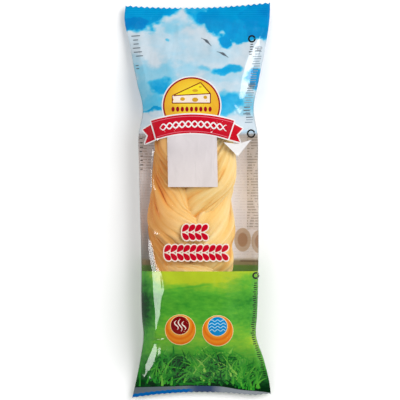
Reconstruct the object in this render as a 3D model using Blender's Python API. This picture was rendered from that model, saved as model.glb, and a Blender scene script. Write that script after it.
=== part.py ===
"""A sealed flow-wrap pack of braided string cheese, lying on its back with the printed front up.

Units are metres, +Z is up and +Y runs along the pack towards its top seal. The origin is on the surface
that the pack rests on, under the middle of its outline. The pack is one closed solid: a tube of film
pressed flat into a crimped seal at each end, drawn over the three-strand plait inside, whose crossings
lift the front of the film.
"""

import bmesh
import bpy
import numpy as np

# Driving sizes of the pack
PACK_LENGTH = 0.2350
SEAL_DEPTH_TOP = 0.0095
SEAL_DEPTH_BOTTOM = 0.0080
SEAL_HALF_THICKNESS = 0.0003
TOOTH_DEPTH_TOP = 0.0009
TOOTH_DEPTH_BOTTOM = 0.0004
TOP_CUT_SAG = 0.0032
TOP_CUT_SLANT = 0.00095
BOTTOM_CUT_SAG = 0.0034
BOTTOM_CORNER_LIFT = 0.0022
CLEAR_BAND_TOP = 0.0410
CLEAR_BAND_BOTTOM = -0.0420

# Driving sizes of the plait inside
STRANDS = 3
STRAND_WAVE = 0.1320
STRAND_HALF_WIDTH = 0.0125
STRAND_HALF_THICKNESS = 0.0100
STRAND_SWING = 0.0150
STRAND_SWING_THIRD = 0.2  # share of a third harmonic, which keeps the sides of the plait nearly straight
STRAND_DIP = 0.0052
PLAIT_LEVEL = 0.0165
PLAIT_CENTRE_X = -0.0032
PLAIT_TOP = 0.0560
PLAIT_BOTTOM = -0.0800
FIRST_CROSSING_Y = -0.0240  # where the first strand crosses the middle on its way down to the right
PLAIT_END_ROUNDING = 0.0160
FILM_CLEARANCE = 0.0008

# Outline seen from the front: where along the pack, left edge, right edge
OUTLINE = (
    (-0.1175, -0.0390, 0.0436),  # bottom cut
    (-0.1080, -0.0368, 0.0424),  # foot of the bottom seal
    (-0.0950, -0.0342, 0.0392),
    (-0.0789, -0.0322, 0.0343),  # pinch below the cheese
    (-0.0700, -0.0330, 0.0349),
    (-0.0368, -0.0334, 0.0358),
    (0.0208, -0.0348, 0.0355),  # widest part of the body
    (0.0386, -0.0350, 0.0353),
    (0.0535, -0.0326, 0.0330),  # waist above the cheese
    (0.0700, -0.0362, 0.0359),
    (0.0938, -0.0408, 0.0406),
    (0.1080, -0.0436, 0.0426),  # foot of the top seal
    (0.1175, -0.0426, 0.0429),  # top cut
)

# Side view: where along the pack, level of its side edges, rise of the front and drop of the back
SIDE_PROFILE = (
    (-0.1175, 0.0038, 0.0000, 0.0000),
    (-0.1090, 0.0046, 0.0002, 0.0001),
    (-0.1000, 0.0072, 0.0062, 0.0052),
    (-0.0890, 0.0116, 0.0128, 0.0118),
    (-0.0780, 0.0146, 0.0160, 0.0158),
    (-0.0600, 0.0155, 0.0164, 0.0175),
    (0.0000, 0.0155, 0.0150, 0.0175),
    (0.0420, 0.0150, 0.0152, 0.0170),
    (0.0600, 0.0128, 0.0134, 0.0140),
    (0.0800, 0.0088, 0.0084, 0.0090),
    (0.0960, 0.0060, 0.0032, 0.0036),
    (0.1070, 0.0046, 0.0003, 0.0002),
    (0.1175, 0.0040, 0.0000, 0.0000),
)

# Folds of the front film: start, end, height, reach of the left flank, reach of the right flank
FOLDS = (
    ((0.0410, 0.1030), (0.0268, 0.0560), 0.0019, 0.0035, 0.0060),
    ((-0.0195, 0.0940), (-0.0150, 0.0620), 0.0009, 0.0060, 0.0040),
    ((0.0060, 0.1060), (0.0090, 0.0820), 0.0007, 0.0030, 0.0040),
    ((-0.0380, 0.1020), (-0.0290, 0.0640), 0.0011, 0.0040, 0.0050),
    ((-0.0246, -0.0240), (-0.0190, -0.0810), 0.0016, 0.0060, 0.0035),
    ((-0.0190, -0.0850), (-0.0330, -0.1085), 0.0022, 0.0055, 0.0040),
    ((0.0290, -0.0760), (0.0390, -0.1070), 0.0016, 0.0040, 0.0040),
    ((-0.0030, -0.0950), (-0.0060, -0.1080), 0.0008, 0.0035, 0.0035),
    ((0.0160, -0.0930), (0.0200, -0.1080), 0.0009, 0.0035, 0.0035),
)
FOLD_CREST = 0.0006
RESTING_BEND = 0.0006

# Where along the pack the film opens out of each seal, where folds fade in, and where the cuts' waves end
OPENS_FROM_BOTTOM = (-0.1095, -0.0860)
OPENS_FROM_TOP = (0.1075, 0.0700)
FOLDS_FROM_BOTTOM = (-0.1130, -0.1050)
FOLDS_FROM_TOP = (0.1090, 0.1020)
TOP_CUT_REACH = 0.0930
BOTTOM_CUT_REACH = -0.0990
BOTTOM_CORNER_FROM = 0.72
FOOT_ROW = -0.1060

# Shares and powers that shape the film's section: a higher power makes it flatter in the middle
FOLD_FADES = (0.3, 0.7)
SEAL_EDGE_POWER = 30
FRONT_POWER = (2.0, 2.4)  # at the seal and where it is open
FRONT_ROOT = (1.0, 0.58)
BACK_POWER = 3
BACK_ROOT = 0.6
FOLD_NEAR_EDGE = 2.5
SETTLING_PASSES = 4
EDGE_MARGIN = 1e-6

# Mesh: columns across the front, two for each tooth of the cut edges, and half as many across the back
FRONT_COLUMNS = 52
BACK_COLUMNS = FRONT_COLUMNS // 2
ROWS_SEAL = 3
ROWS_FOOT = 2
ROWS_TAPER_BOTTOM = 17
ROWS_CLEAR_BAND = 21
ROWS_TAPER_TOP = 17

COLOURS = {
    "meadow_print": (0.15, 0.36, 0.06, 1.0),
    "clear_film_over_cheese": (0.82, 0.49, 0.17, 1.0),
    "sky_print": (0.24, 0.56, 0.80, 1.0),
    "seal_grey": (0.24, 0.27, 0.32, 1.0),
}


def through(stations, column, y):
    """A smooth curve through one column of the stations: cubic pieces with the stations' mean slopes."""
    table = np.array(stations, float)
    places, values = table[:, 0], table[:, column]
    slopes = np.gradient(values, places)
    k = np.clip(np.searchsorted(places, y) - 1, 0, len(places) - 2)
    gap = places[k + 1] - places[k]
    t = (y - places[k]) / gap
    start = (1 + 2 * t) * (1 - t) ** 2 * values[k] + t * (1 - t) ** 2 * gap * slopes[k]
    end = t * t * (3 - 2 * t) * values[k + 1] - t * t * (1 - t) * gap * slopes[k + 1]
    return start + end


def ramp(low, high, value):
    """0 up to low, 1 from high on, and a smooth step between; it falls where high is the lesser."""
    t = np.clip((value - low) / (high - low), 0.0, 1.0)
    return t * t * (3 - 2 * t)


def openness(y):
    """0 in the two flat seals and 1 where the tube of film is fully open."""
    return ramp(*OPENS_FROM_BOTTOM, y) * ramp(*OPENS_FROM_TOP, y)


def plait_top(x, y):
    """Height of the plait's upper surface: each strand swings across and dips twice for each swing.

    The top of a strand is a half ellipse square to its run, so it is wider across where the strand slants.
    """
    ends = np.minimum(PLAIT_TOP - y, y - PLAIT_BOTTOM) / PLAIT_END_ROUNDING
    body = np.sqrt(np.clip(ends * (2 - ends), 0.0, 1.0)) * (ends > 0) * (ends < 1) + (ends >= 1)
    top = np.full(np.shape(x), 0.0)
    for strand in range(STRANDS):
        phase = np.pi + 2 * np.pi * ((y - FIRST_CROSSING_Y) / STRAND_WAVE + strand / STRANDS)
        middle = PLAIT_CENTRE_X + STRAND_SWING * (np.sin(phase) + STRAND_SWING_THIRD * np.sin(3 * phase))
        turn = np.cos(phase) + 3 * STRAND_SWING_THIRD * np.cos(3 * phase)
        slope = STRAND_SWING * turn * 2 * np.pi / STRAND_WAVE
        level = STRAND_DIP * np.sin(2 * phase)
        across = (x - middle) / (STRAND_HALF_WIDTH * np.sqrt(1 + slope**2))
        arch = STRAND_HALF_THICKNESS * np.sqrt(np.clip(1 - across**2, 0.0, 1.0))
        top = np.maximum(top, np.where(np.abs(across) < 1, PLAIT_LEVEL + body * (level + arch), 0.0))
    return top * (body > 0)


def folds(x, y):
    """Sharp-crested ridges in the film, each highest at the middle of its run and steeper on one flank."""
    height = np.zeros(np.shape(x))
    for start, end, rise, left_reach, right_reach in FOLDS:
        run_x, run_y = end[0] - start[0], end[1] - start[1]
        along = ((x - start[0]) * run_x + (y - start[1]) * run_y) / (run_x**2 + run_y**2)
        side = x - (start[0] + np.clip(along, 0, 1) * run_x)
        reach = np.where(side < 0, left_reach, right_reach)
        away = np.sqrt(side**2 + FOLD_CREST**2) - FOLD_CREST
        ends = ramp(0.0, FOLD_FADES[0], along) * ramp(1.0, FOLD_FADES[1], along)
        height += rise * np.exp(-away / reach) * ends
    return height


def rested(level):
    """The back lies flat on the ground, and bends up from it within a short, even curve."""
    bend = (level + RESTING_BEND) ** 2 / (4 * RESTING_BEND)
    return np.where(level < -RESTING_BEND, 0.0, np.where(level > RESTING_BEND, level, bend))


def settled(height, passes):
    """The film bridges hollows: each pass draws every point towards its neighbours' mean."""
    for _ in range(passes):
        padded = np.pad(height, 1, mode="edge")
        ring = padded[:-2, 1:-1] + padded[2:, 1:-1] + padded[1:-1, :-2] + padded[1:-1, 2:]
        height = 0.5 * height + 0.125 * ring
    return height


def row_places():
    """Places of the rows along the pack, with a row on each edge of a colour field, bottom to top."""
    half = PACK_LENGTH / 2
    fields = (
        (-half, -half + SEAL_DEPTH_BOTTOM, ROWS_SEAL),
        (-half + SEAL_DEPTH_BOTTOM, FOOT_ROW, ROWS_FOOT),
        (FOOT_ROW, CLEAR_BAND_BOTTOM, ROWS_TAPER_BOTTOM),
        (CLEAR_BAND_BOTTOM, CLEAR_BAND_TOP, ROWS_CLEAR_BAND),
        (CLEAR_BAND_TOP, half - SEAL_DEPTH_TOP, ROWS_TAPER_TOP),
        (half - SEAL_DEPTH_TOP, half, ROWS_SEAL),
    )
    steps = [np.linspace(low, high, count + 1)[:-1] for low, high, count in fields]
    return np.concatenate([*steps, [half]])


def cut_edges(y, share, teeth):
    """Moves the rows of the two seals to follow the slanting, wavy cuts, with teeth on the last row."""
    half = PACK_LENGTH / 2
    top_cut = -TOP_CUT_SAG + TOP_CUT_SLANT * share + (TOP_CUT_SAG - TOP_CUT_SLANT) * share**2
    bottom_cut = BOTTOM_CUT_SAG * (1 - share**2) + BOTTOM_CORNER_LIFT * ramp(BOTTOM_CORNER_FROM, 1.0, share)
    top_teeth = TOOTH_DEPTH_TOP * teeth * (y > half - EDGE_MARGIN)
    bottom_teeth = TOOTH_DEPTH_BOTTOM * teeth * (y < -half + EDGE_MARGIN)
    shifted = y + top_cut * ramp(TOP_CUT_REACH, half, y) + bottom_cut * ramp(BOTTOM_CUT_REACH, -half, y)
    return shifted - top_teeth + bottom_teeth


def film_surface(columns, places):
    """Front and back of the film as two grids of points, joined at their sides: (rows, columns + 1, 3)."""
    turn = np.linspace(-1, 1, columns + 1)[None, :]
    along = places[:, None]
    opened = openness(along)
    share = (1 - opened) * turn + opened * np.sin(turn * np.pi / 2)
    teeth = np.where(np.arange(columns + 1) % 2 == 0, 0.0, 1.0)[None, :]
    y = cut_edges(along, turn, teeth)
    left, right = through(OUTLINE, 1, y), through(OUTLINE, 2, y)
    x = (left + right) / 2 + share * (right - left) / 2
    edge = through(SIDE_PROFILE, 1, y)
    side = np.abs(share)
    plate = SEAL_HALF_THICKNESS * np.sqrt(np.clip(1 - side**SEAL_EDGE_POWER, 0, 1))
    power = FRONT_POWER[0] + (FRONT_POWER[1] - FRONT_POWER[0]) * opened
    root = FRONT_ROOT[0] + (FRONT_ROOT[1] - FRONT_ROOT[0]) * opened
    arch = np.clip(1 - side**power, 0, 1) ** root
    front = edge + plate + np.maximum(through(SIDE_PROFILE, 2, y), 0) * arch
    lifted = np.maximum(front, plait_top(x, y) + FILM_CLEARANCE)
    front = front + (settled(lifted, SETTLING_PASSES) - front) * opened
    fold_share = np.clip(FOLD_NEAR_EDGE * arch, 0, 1)
    front += folds(x, y) * fold_share * ramp(*FOLDS_FROM_BOTTOM, y) * ramp(*FOLDS_FROM_TOP, y)
    belly = np.clip(1 - side**BACK_POWER, 0, 1) ** BACK_ROOT
    back = edge - plate - np.maximum(through(SIDE_PROFILE, 3, y), 0) * belly
    at_edge = side >= 1 - EDGE_MARGIN
    back = np.where(at_edge, edge, rested(back))
    front = np.where(at_edge, edge, front)
    return np.stack([x, y, front], axis=2), np.stack([x, y, back], axis=2)


def pack_mesh():
    """The closed skin: one ring of points a row, quads between rings, and a strip across each cut edge."""
    places = row_places()
    front, back = film_surface(FRONT_COLUMNS, places)
    back = back[:, ::2]
    shift_x = (front[:, :, 0].max() + front[:, :, 0].min()) / 2
    shift_y = (front[:, :, 1].max() + front[:, :, 1].min()) / 2
    offset = np.array([shift_x, shift_y, 0.0])
    rings = np.concatenate([front, back[:, -2:0:-1]], axis=1) - offset
    bm = bmesh.new()
    verts = [[bm.verts.new(point) for point in ring] for ring in rings]
    count = len(verts[0])
    for low, high, place in zip(verts, verts[1:], (places[:-1] + places[1:]) / 2):
        for i in range(count):
            j = (i + 1) % count
            face = bm.faces.new((low[i], low[j], high[j], high[i]))
            face.material_index = colour_field(place)
            face.smooth = True
    for ring, place in ((verts[0], places[0]), (verts[-1], places[-1])):
        lower = [ring[0], *ring[:FRONT_COLUMNS:-1], ring[FRONT_COLUMNS]]
        for k in range(BACK_COLUMNS):
            upper = ring[2 * k : 2 * k + 3]
            corners = [*upper, lower[k + 1], lower[k]]
            face = bm.faces.new(list(dict.fromkeys(corners)))
            face.material_index = colour_field(place)
    bmesh.ops.recalc_face_normals(bm, faces=bm.faces)
    mesh = bpy.data.meshes.new("pack")
    bm.to_mesh(mesh)
    bm.free()
    return mesh


def colour_field(place):
    """Index into COLOURS of the print at this place along the pack."""
    if place < -PACK_LENGTH / 2 + SEAL_DEPTH_BOTTOM:
        return 3
    if place < CLEAR_BAND_BOTTOM:
        return 0
    return 1 if place < CLEAR_BAND_TOP else 2


def film_material(name, colour):
    """A glossy printed film of one colour."""
    material = bpy.data.materials.new(name)
    material.use_nodes = True
    shader = material.node_tree.nodes["Principled BSDF"]
    shader.inputs["Base Color"].default_value = colour
    shader.inputs["Roughness"].default_value = 0.28
    shader.inputs["Metallic"].default_value = 0.0
    material.diffuse_color = colour
    return material


def build():
    for old in list(bpy.data.objects):
        bpy.data.objects.remove(old)
    pack = bpy.data.objects.new("pack", pack_mesh())
    bpy.context.scene.collection.objects.link(pack)
    for name, colour in COLOURS.items():
        pack.data.materials.append(film_material(name, colour))


build()
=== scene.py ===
import bpy
import numpy as np
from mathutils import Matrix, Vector


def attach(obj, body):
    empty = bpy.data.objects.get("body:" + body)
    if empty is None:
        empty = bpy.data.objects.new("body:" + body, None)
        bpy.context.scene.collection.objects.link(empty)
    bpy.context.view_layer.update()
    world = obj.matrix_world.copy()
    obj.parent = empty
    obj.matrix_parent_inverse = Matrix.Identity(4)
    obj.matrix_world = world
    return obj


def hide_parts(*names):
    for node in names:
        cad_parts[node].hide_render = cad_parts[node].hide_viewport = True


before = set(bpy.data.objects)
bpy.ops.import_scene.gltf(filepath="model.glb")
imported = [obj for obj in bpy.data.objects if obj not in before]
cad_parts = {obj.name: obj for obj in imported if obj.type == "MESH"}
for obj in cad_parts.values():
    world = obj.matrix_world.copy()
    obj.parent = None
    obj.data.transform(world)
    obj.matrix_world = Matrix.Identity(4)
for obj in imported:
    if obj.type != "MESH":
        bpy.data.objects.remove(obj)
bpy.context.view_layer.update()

mm = 0.001
draws = np.random.default_rng(7)


# Small numeric helpers, all on whole arrays

def ramp(low, high, value):
    # 0 below low, 1 above high, 3t^2 - 2t^3 between
    t = np.clip((value - low) / (high - low), 0.0, 1.0)
    return t * t * (3 - 2 * t)


def through(stations, column, y):
    # cubic pieces through one column of the stations, with the stations' own mean slopes
    table = np.array(stations, float)
    places, values = table[:, 0], table[:, column]
    slopes = np.gradient(values, places)
    k = np.clip(np.searchsorted(places, y) - 1, 0, len(places) - 2)
    gap = places[k + 1] - places[k]
    t = np.clip((y - places[k]) / gap, 0, 1)
    start = (1 + 2 * t) * (1 - t) ** 2 * values[k] + t * (1 - t) ** 2 * gap * slopes[k]
    end = t * t * (3 - 2 * t) * values[k + 1] - t * t * (1 - t) * gap * slopes[k + 1]
    return start + end


def softNoise(x, y, seed, octaves=3):
    # random heights on a lattice, blended by smoothstep; each octave is twice as fine and half as strong
    total, weight = 0.0, 0.0
    for octave in range(octaves):
        lattice = np.random.default_rng(seed + octave).random((97, 89))
        u, v = x * 2**octave + 31.7, y * 2**octave + 17.3
        i, j = np.floor(u).astype(int), np.floor(v).astype(int)
        f, g = ramp(0, 1, u - i), ramp(0, 1, v - j)
        low = lattice[i % 97, j % 89] * (1 - f) + lattice[(i + 1) % 97, j % 89] * f
        high = lattice[i % 97, (j + 1) % 89] * (1 - f) + lattice[(i + 1) % 97, (j + 1) % 89] * f
        total = total + (low * (1 - g) + high * g) * 0.5**octave
        weight += 0.5**octave
    return total / weight


def lesser(a, b, blend):
    # the lower of two heights, rounded over about blend where they cross
    return (a + b - np.sqrt((a - b) ** 2 + blend**2)) / 2


# The film: a tube pressed flat at both ends and drawn over the plait

film = {
    "length": 235 * mm,
    "topSeal": 9.5 * mm,
    "bottomSeal": 8 * mm,
    "sealHalfThickness": 0.3 * mm,
    "clearTop": 41 * mm,
    "clearBottom": -42 * mm,
    "toothPitch": 3.3 * mm,
    "toothDepth": (0.4 * mm, 0.9 * mm),  # at the bottom cut, at the top cut
    "frontColumns": 150,
    "liftStep": 0.5 * mm,
    "liftSoftness": (1.2 * mm, 2.4 * mm),  # how far the film bridges hollows, across and along
    "clearance": 0.8 * mm,
    "lining": 0.45 * mm,  # the back film lies this high, so that the lap seam under it clears the ground
    "opens": (-109.5 * mm, -86 * mm),  # where the tube starts to open and is fully open
    "closes": (70 * mm, 107.5 * mm),
    "topCut": (-3.2 * mm, 0.95 * mm, 2.25 * mm),  # level in the middle, slant, curl up at both sides
    "bottomCut": (3.4 * mm, 2.2 * mm),  # rise in the middle, rise at the right corner
    "outline": (  # along the pack, left edge, right edge
        (-117.5, -39.0, 43.6), (-108.0, -36.8, 42.4), (-95.0, -34.2, 39.2), (-78.9, -32.2, 34.3),
        (-70.0, -33.0, 34.9), (-36.8, -33.4, 35.8), (20.8, -34.8, 35.5), (38.6, -35.0, 35.3),
        (53.5, -32.6, 33.0), (70.0, -36.2, 35.9), (93.8, -40.8, 40.6), (108.0, -43.6, 42.6),
        (117.5, -42.6, 42.9),
    ),
    "sideProfile": (  # along the pack, level of the side edges, rise of the front, drop of the back
        (-117.5, 3.8, 0.0, 0.0), (-109.0, 4.6, 0.2, 0.1), (-100.0, 7.2, 6.2, 5.2),
        (-89.0, 11.6, 12.8, 11.8), (-78.0, 14.6, 16.0, 15.8), (-60.0, 15.5, 16.4, 17.5),
        (0.0, 15.5, 15.0, 17.5), (42.0, 15.0, 15.2, 17.0), (60.0, 12.8, 13.4, 14.0),
        (80.0, 8.8, 8.4, 9.0), (96.0, 6.0, 3.2, 3.6), (107.0, 4.6, 0.3, 0.2), (117.5, 4.0, 0.0, 0.0),
    ),
    "folds": (  # start, end, height, reach of the left flank, reach of the right flank
        ((-19.5, 94.0), (-15.0, 62.0), 0.9, 6.0, 4.0), ((-28.2, -10.0), (-26.8, 52.0), 1.1, 3.0, 4.0),
        ((6.0, 106.0), (9.0, 82.0), 0.7, 3.0, 4.0), ((-38.0, 102.0), (-29.0, 64.0), 1.1, 4.0, 5.0),
        ((29.0, -76.0), (39.0, -107.0), 1.6, 4.0, 4.0), ((-3.0, -95.0), (-6.0, -108.0), 0.8, 3.5, 3.5),
        ((16.0, -93.0), (20.0, -108.0), 0.9, 3.5, 3.5),
    ),
    "facets": (  # flat flanks of long folds: rows of along, left, right; side that holds; slope; ridge
        {
            "rows": (
                (-83.5, -25.5, -25.1), (-81.0, -25.4, -24.7), (-77.0, -25.3, -24.2), (-70.3, -25.4, -23.0),
                (-63.0, -25.8, -21.8), (-55.8, -26.3, -21.3), (-48.0, -26.9, -21.5), (-41.5, -27.5, -22.3),
                (-38.1, -28.1, -23.9), (-32.3, -29.0, -25.4), (-23.8, -29.5, -27.4), (-20.4, -29.6, -29.2),
            ),
            "holds": "right", "slope": 0.52, "ridge": 1.1,
        },
        {
            "rows": (
                (-108.4, -34.7, -34.2), (-103.0, -33.4, -30.0), (-98.5, -31.8, -27.0), (-94.8, -30.2, -25.8),
                (-89.0, -27.8, -24.8), (-85.0, -26.2, -24.4), (-82.0, -25.4, -24.6),
            ),
            "holds": "right", "slope": 0.34, "ridge": 1.2,
        },
        {
            "rows": (
                (57.0, 24.7, 25.1), (61.1, 24.3, 27.4), (65.5, 24.9, 29.4), (72.6, 25.9, 31.0),
                (78.4, 27.6, 32.4), (84.9, 29.7, 34.2), (92.0, 33.5, 36.0), (95.7, 35.6, 37.4),
                (99.3, 37.7, 39.0), (105.0, 41.4, 41.8),
            ),
            "holds": "left", "slope": -0.52, "ridge": 1.0,
        },
    ),
    "facetReach": (2.6, 4.0),  # how fast the film finds its own shape again, outside and inside of a facet
    "foldCrest": 0.35 * mm,
    "crinkle": 0.10 * mm,
    "creaseSize": (5 * mm, 13 * mm),
    "creaseWarp": (9 * mm, 14 * mm),
    "pleatPitch": 1.35 * mm,
    "ribPitch": 1.25 * mm,
    "ribHeight": 0.05 * mm,
}

plait = {
    "strands": 3,
    "wave": 132 * mm,
    "halfWidth": 12.5 * mm,
    "halfThickness": 10 * mm,
    "swing": 15 * mm,
    "swingThird": 0.2,  # share of a third harmonic, which keeps the plait's sides nearly straight
    "dip": 5.2 * mm,
    "level": 16.5 * mm,
    "centreX": -3.2 * mm,
    "top": 56 * mm,
    "bottom": -80 * mm,
    "firstCrossing": -24.0 * mm,
    "endRounding": 16 * mm,
}


def inMetres(stations):
    # a table given in millimetres, as an array in metres
    return np.array(stations, float) * mm


def openness(y):
    # 0 in the two flat seals, 1 where the tube is fully open
    return ramp(*film["opens"], y) * (1 - ramp(*film["closes"], y))


def strandPhase(y, strand):
    # a full turn for each wave along the pack; the strands follow each other at a third of a turn
    return np.pi + 2 * np.pi * ((y - plait["firstCrossing"]) / plait["wave"] + strand / plait["strands"])


def strandPath(phase):
    # a strand swings by the sine of its phase and a third harmonic, and dips by the sine of twice its phase
    swing = plait["swing"] * (np.sin(phase) + plait["swingThird"] * np.sin(3 * phase))
    slope = plait["swing"] * (np.cos(phase) + 3 * plait["swingThird"] * np.cos(3 * phase))
    return plait["centreX"] + swing, plait["dip"] * np.sin(2 * phase), slope * 2 * np.pi / plait["wave"]


def plaitTop(x, y):
    # highest of the strands; each one's top is a half ellipse square to its run
    ends = np.minimum(plait["top"] - y, y - plait["bottom"]) / plait["endRounding"]
    body = np.sqrt(np.clip(ends * (2 - np.minimum(ends, 1)), 0, 1)) * (ends > 0)
    top = np.zeros(np.shape(x))
    for strand in range(plait["strands"]):
        middle, dip, slope = strandPath(strandPhase(y, strand))
        across = (x - middle) / (plait["halfWidth"] * np.sqrt(1 + slope**2))
        arch = plait["halfThickness"] * np.sqrt(np.clip(1 - across**2, 0, 1))
        level = plait["level"] + body * (dip + arch)
        top = np.maximum(top, np.where(np.abs(across) < 1, level, 0))
    return top * (body > 0)


def shareAcross(x, y):
    # -1 at the left edge of the pack, 1 at its right edge
    left = through(inMetres(film["outline"]), 1, y)
    right = through(inMetres(film["outline"]), 2, y)
    return np.clip((2 * x - left - right) / (right - left), -1, 1)


def plainFront(x, y):
    # level of the edge, plus half the seal's thickness, plus a pillow arch (1 - |s|^p)^q
    side = np.abs(shareAcross(x, y))
    opened = openness(y)
    profile = inMetres(film["sideProfile"])
    plate = film["sealHalfThickness"] * np.sqrt(1 - side**30)
    arch = (1 - side ** (2 + 0.4 * opened)) ** (1 - 0.42 * opened)
    return through(profile, 1, y) + plate + np.maximum(through(profile, 2, y), 0) * arch, arch


def blurWeights(places, softness):
    # rows of a matrix that averages with a bell curve of the given width
    weights = np.exp(-((places[:, None] - places[None, :]) ** 2) / (2 * softness**2))
    return weights / weights.sum(1, keepdims=True)


liftX = np.arange(-46 * mm, 46.1 * mm, film["liftStep"])
liftY = np.arange(-120 * mm, 120.1 * mm, film["liftStep"])
gridX, gridY = np.meshgrid(liftX, liftY)
bare = plainFront(gridX, gridY)[0]
liftMap = np.maximum(plaitTop(gridX, gridY) + film["clearance"] - bare, 0)
softAcross, softAlong = film["liftSoftness"]
liftMap = blurWeights(liftY, softAlong) @ liftMap @ blurWeights(liftX, softAcross).T


def readMap(grid, x, y):
    # bilinear reading of a map laid out on liftX by liftY
    u = np.clip((x - liftX[0]) / film["liftStep"], 0, len(liftX) - 1.001)
    v = np.clip((y - liftY[0]) / film["liftStep"], 0, len(liftY) - 1.001)
    i, j = u.astype(int), v.astype(int)
    f, g = u - i, v - j
    low = grid[j, i] * (1 - f) + grid[j, i + 1] * f
    return low * (1 - g) + (grid[j + 1, i] * (1 - f) + grid[j + 1, i + 1] * f) * g


def foldHeight(x, y):
    # ridges: each falls off exponentially to both flanks of its line and fades at both ends
    height = np.zeros(np.shape(x))
    for start, end, rise, leftReach, rightReach in film["folds"]:
        (sx, sy), (ex, ey) = inMetres(start), inMetres(end)
        along = ((x - sx) * (ex - sx) + (y - sy) * (ey - sy)) / ((ex - sx) ** 2 + (ey - sy) ** 2)
        side = x - (sx + np.clip(along, 0, 1) * (ex - sx))
        reach = np.where(side < 0, leftReach, rightReach) * mm
        away = np.sqrt(side**2 + film["foldCrest"] ** 2) - film["foldCrest"]
        ridge = rise * mm * np.exp(-away / reach)
        height = height + ridge * ramp(0, 0.3, along) * (1 - ramp(0.7, 1, along))
    return height


def slackFront(x, y):
    # the front before its facets and creases: pillow, lift over the plait, and folds
    base, arch = plainFront(x, y)
    free = np.clip(2.5 * arch, 0, 1) * ramp(-113 * mm, -105 * mm, y) * (1 - ramp(102 * mm, 109 * mm, y))
    return base + readMap(liftMap, x, y) * openness(y) + foldHeight(x, y) * free, free


def facetEdges(one, y):
    # its edges at y, and how much of the facet there is: it fades where it is narrow and at its ends
    rows = inMetres(one["rows"])
    first, last = rows[0, 0], rows[-1, 0]
    along = np.clip(y, first, last)
    left, right = through(rows, 1, along), through(rows, 2, along)
    body = ramp(0, 1.2 * mm, right - left) * ramp(0, 2.5 * mm, y - first)
    return along, left, right, body * ramp(0, 2.5 * mm, last - y)


def facetShare(x, y):
    # 1 on a facet, falling to 0 within half a millimetre of its edges
    share = np.zeros(np.shape(x))
    for one in film["facets"]:
        _, left, right, body = facetEdges(one, y)
        share = np.maximum(share, ramp(-0.5 * mm, 0.2 * mm, np.minimum(x - left, right - x)) * body)
    return share


def facetPlane(one):
    # the slope across is given; level and slope along are the best fit to the held edge, ridge included
    rows = inMetres(one["rows"])
    y = np.linspace(rows[0, 0] + 4 * mm, rows[-1, 0] - 4 * mm, 60)
    held = through(rows, 2 if one["holds"] == "right" else 1, y)
    return np.polyfit(y, slackFront(held, y)[0] + one["ridge"] * mm - one["slope"] * held, 1)


facetPlanes = [facetPlane(one) for one in film["facets"]]


def cutFacets(x, y, height):
    # on each facet the film is a plane; outside, the step to the film's own height dies away exponentially
    outer, inner = inMetres(film["facetReach"])
    for one, (rise, level) in zip(film["facets"], facetPlanes):
        along, left, right, body = facetEdges(one, y)
        held, far, turn = (right, left, -1) if one["holds"] == "right" else (left, right, 1)
        farStep = one["slope"] * far + rise * along + level - slackFront(far, along)[0]
        heldStep = one["slope"] * held + rise * along + level - slackFront(held, along)[0]
        outward, inward = np.maximum(turn * (x - far), 0), np.maximum(-turn * (x - held), 0)
        plane = one["slope"] * x + rise * y + level
        shaped = np.where(outward > 0, height + farStep * np.exp(-outward / outer),
                          np.where(inward > 0, height + heldStep * np.exp(-inward / inner), plane))
        height = height + (shaped - height) * body
    return height


def filmFront(x, y):
    # height of the printed side of the film over any point of the outline: the slack film with its facets,
    # then sharp creases from noise, pleats by the seals, and the seals' pressed ribs, a sine along the pack
    x, y = np.broadcast_arrays(np.asarray(x, float), np.asarray(y, float))
    slack, free = slackFront(x, y)
    height = slack + (cutFacets(x, y, slack) - slack) * np.clip(free * 1.5, 0, 1)
    free = free * (1 - 0.9 * facetShare(x, y))
    (wide, long), (warpWide, warpLong) = film["creaseSize"], film["creaseWarp"]
    warp = softNoise(x / warpWide, y / warpLong, 40, 2) * 2.2
    creases = 1 - np.abs(2 * softNoise(x / wide + warp, y / long + warp, 51, 3) - 1)
    pleats = np.sin(x / film["pleatPitch"] + 5 * softNoise(x / (12 * mm), y / (30 * mm), 77, 2))
    nearSeal = ramp(-111 * mm, -107 * mm, y) * (1 - ramp(-103 * mm, -92 * mm, y))
    nearSeal = nearSeal + ramp(84 * mm, 101 * mm, y) * (1 - ramp(105 * mm, 109 * mm, y))
    height = height + free * film["crinkle"] * (creases**3 * 2.4 + 1.6 * nearSeal * pleats)
    pressed = 1 - ramp(-110.5 * mm, -109.6 * mm, y) * (1 - ramp(108 * mm, 109 * mm, y))
    ribs = np.sin(2 * np.pi * y / film["ribPitch"]) * pressed
    return height + film["ribHeight"] * ribs * np.sqrt(1 - np.abs(shareAcross(x, y)) ** 30)


def filmBack(x, y):
    # the back falls from the edges by a flatter arch and lies level where it would pass the ground
    side = np.abs(shareAcross(x, y))
    profile = inMetres(film["sideProfile"])
    plate = film["sealHalfThickness"] * np.sqrt(1 - side**30)
    belly = (1 - side**3) ** 0.6
    level = through(profile, 1, y) - plate - np.maximum(through(profile, 3, y), 0) * belly
    bend = 0.6 * mm
    level = np.where(level < -bend, 0, np.where(level > bend, level, (level + bend) ** 2 / (4 * bend)))
    return level + film["lining"] * (1 - ramp(0, 3 * mm, level))


def cutEdges(y, share, tooth):
    # the rows of the seals follow the slanting, wavy cuts; the last row of each has the teeth
    half = film["length"] / 2
    level, slant, curl = film["topCut"]
    topCut = level + slant * share + curl * share**2
    bottomCut = film["bottomCut"][0] * (1 - share**2) + film["bottomCut"][1] * ramp(0.72, 1, share)
    moved = y + topCut * ramp(93 * mm, half, y) + bottomCut * (1 - ramp(-half, -99 * mm, y))
    moved = moved - film["toothDepth"][1] * tooth * ramp(half - 0.8 * mm, half, y)
    return moved + film["toothDepth"][0] * tooth * (1 - ramp(-half, -half + 0.8 * mm, y))


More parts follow.
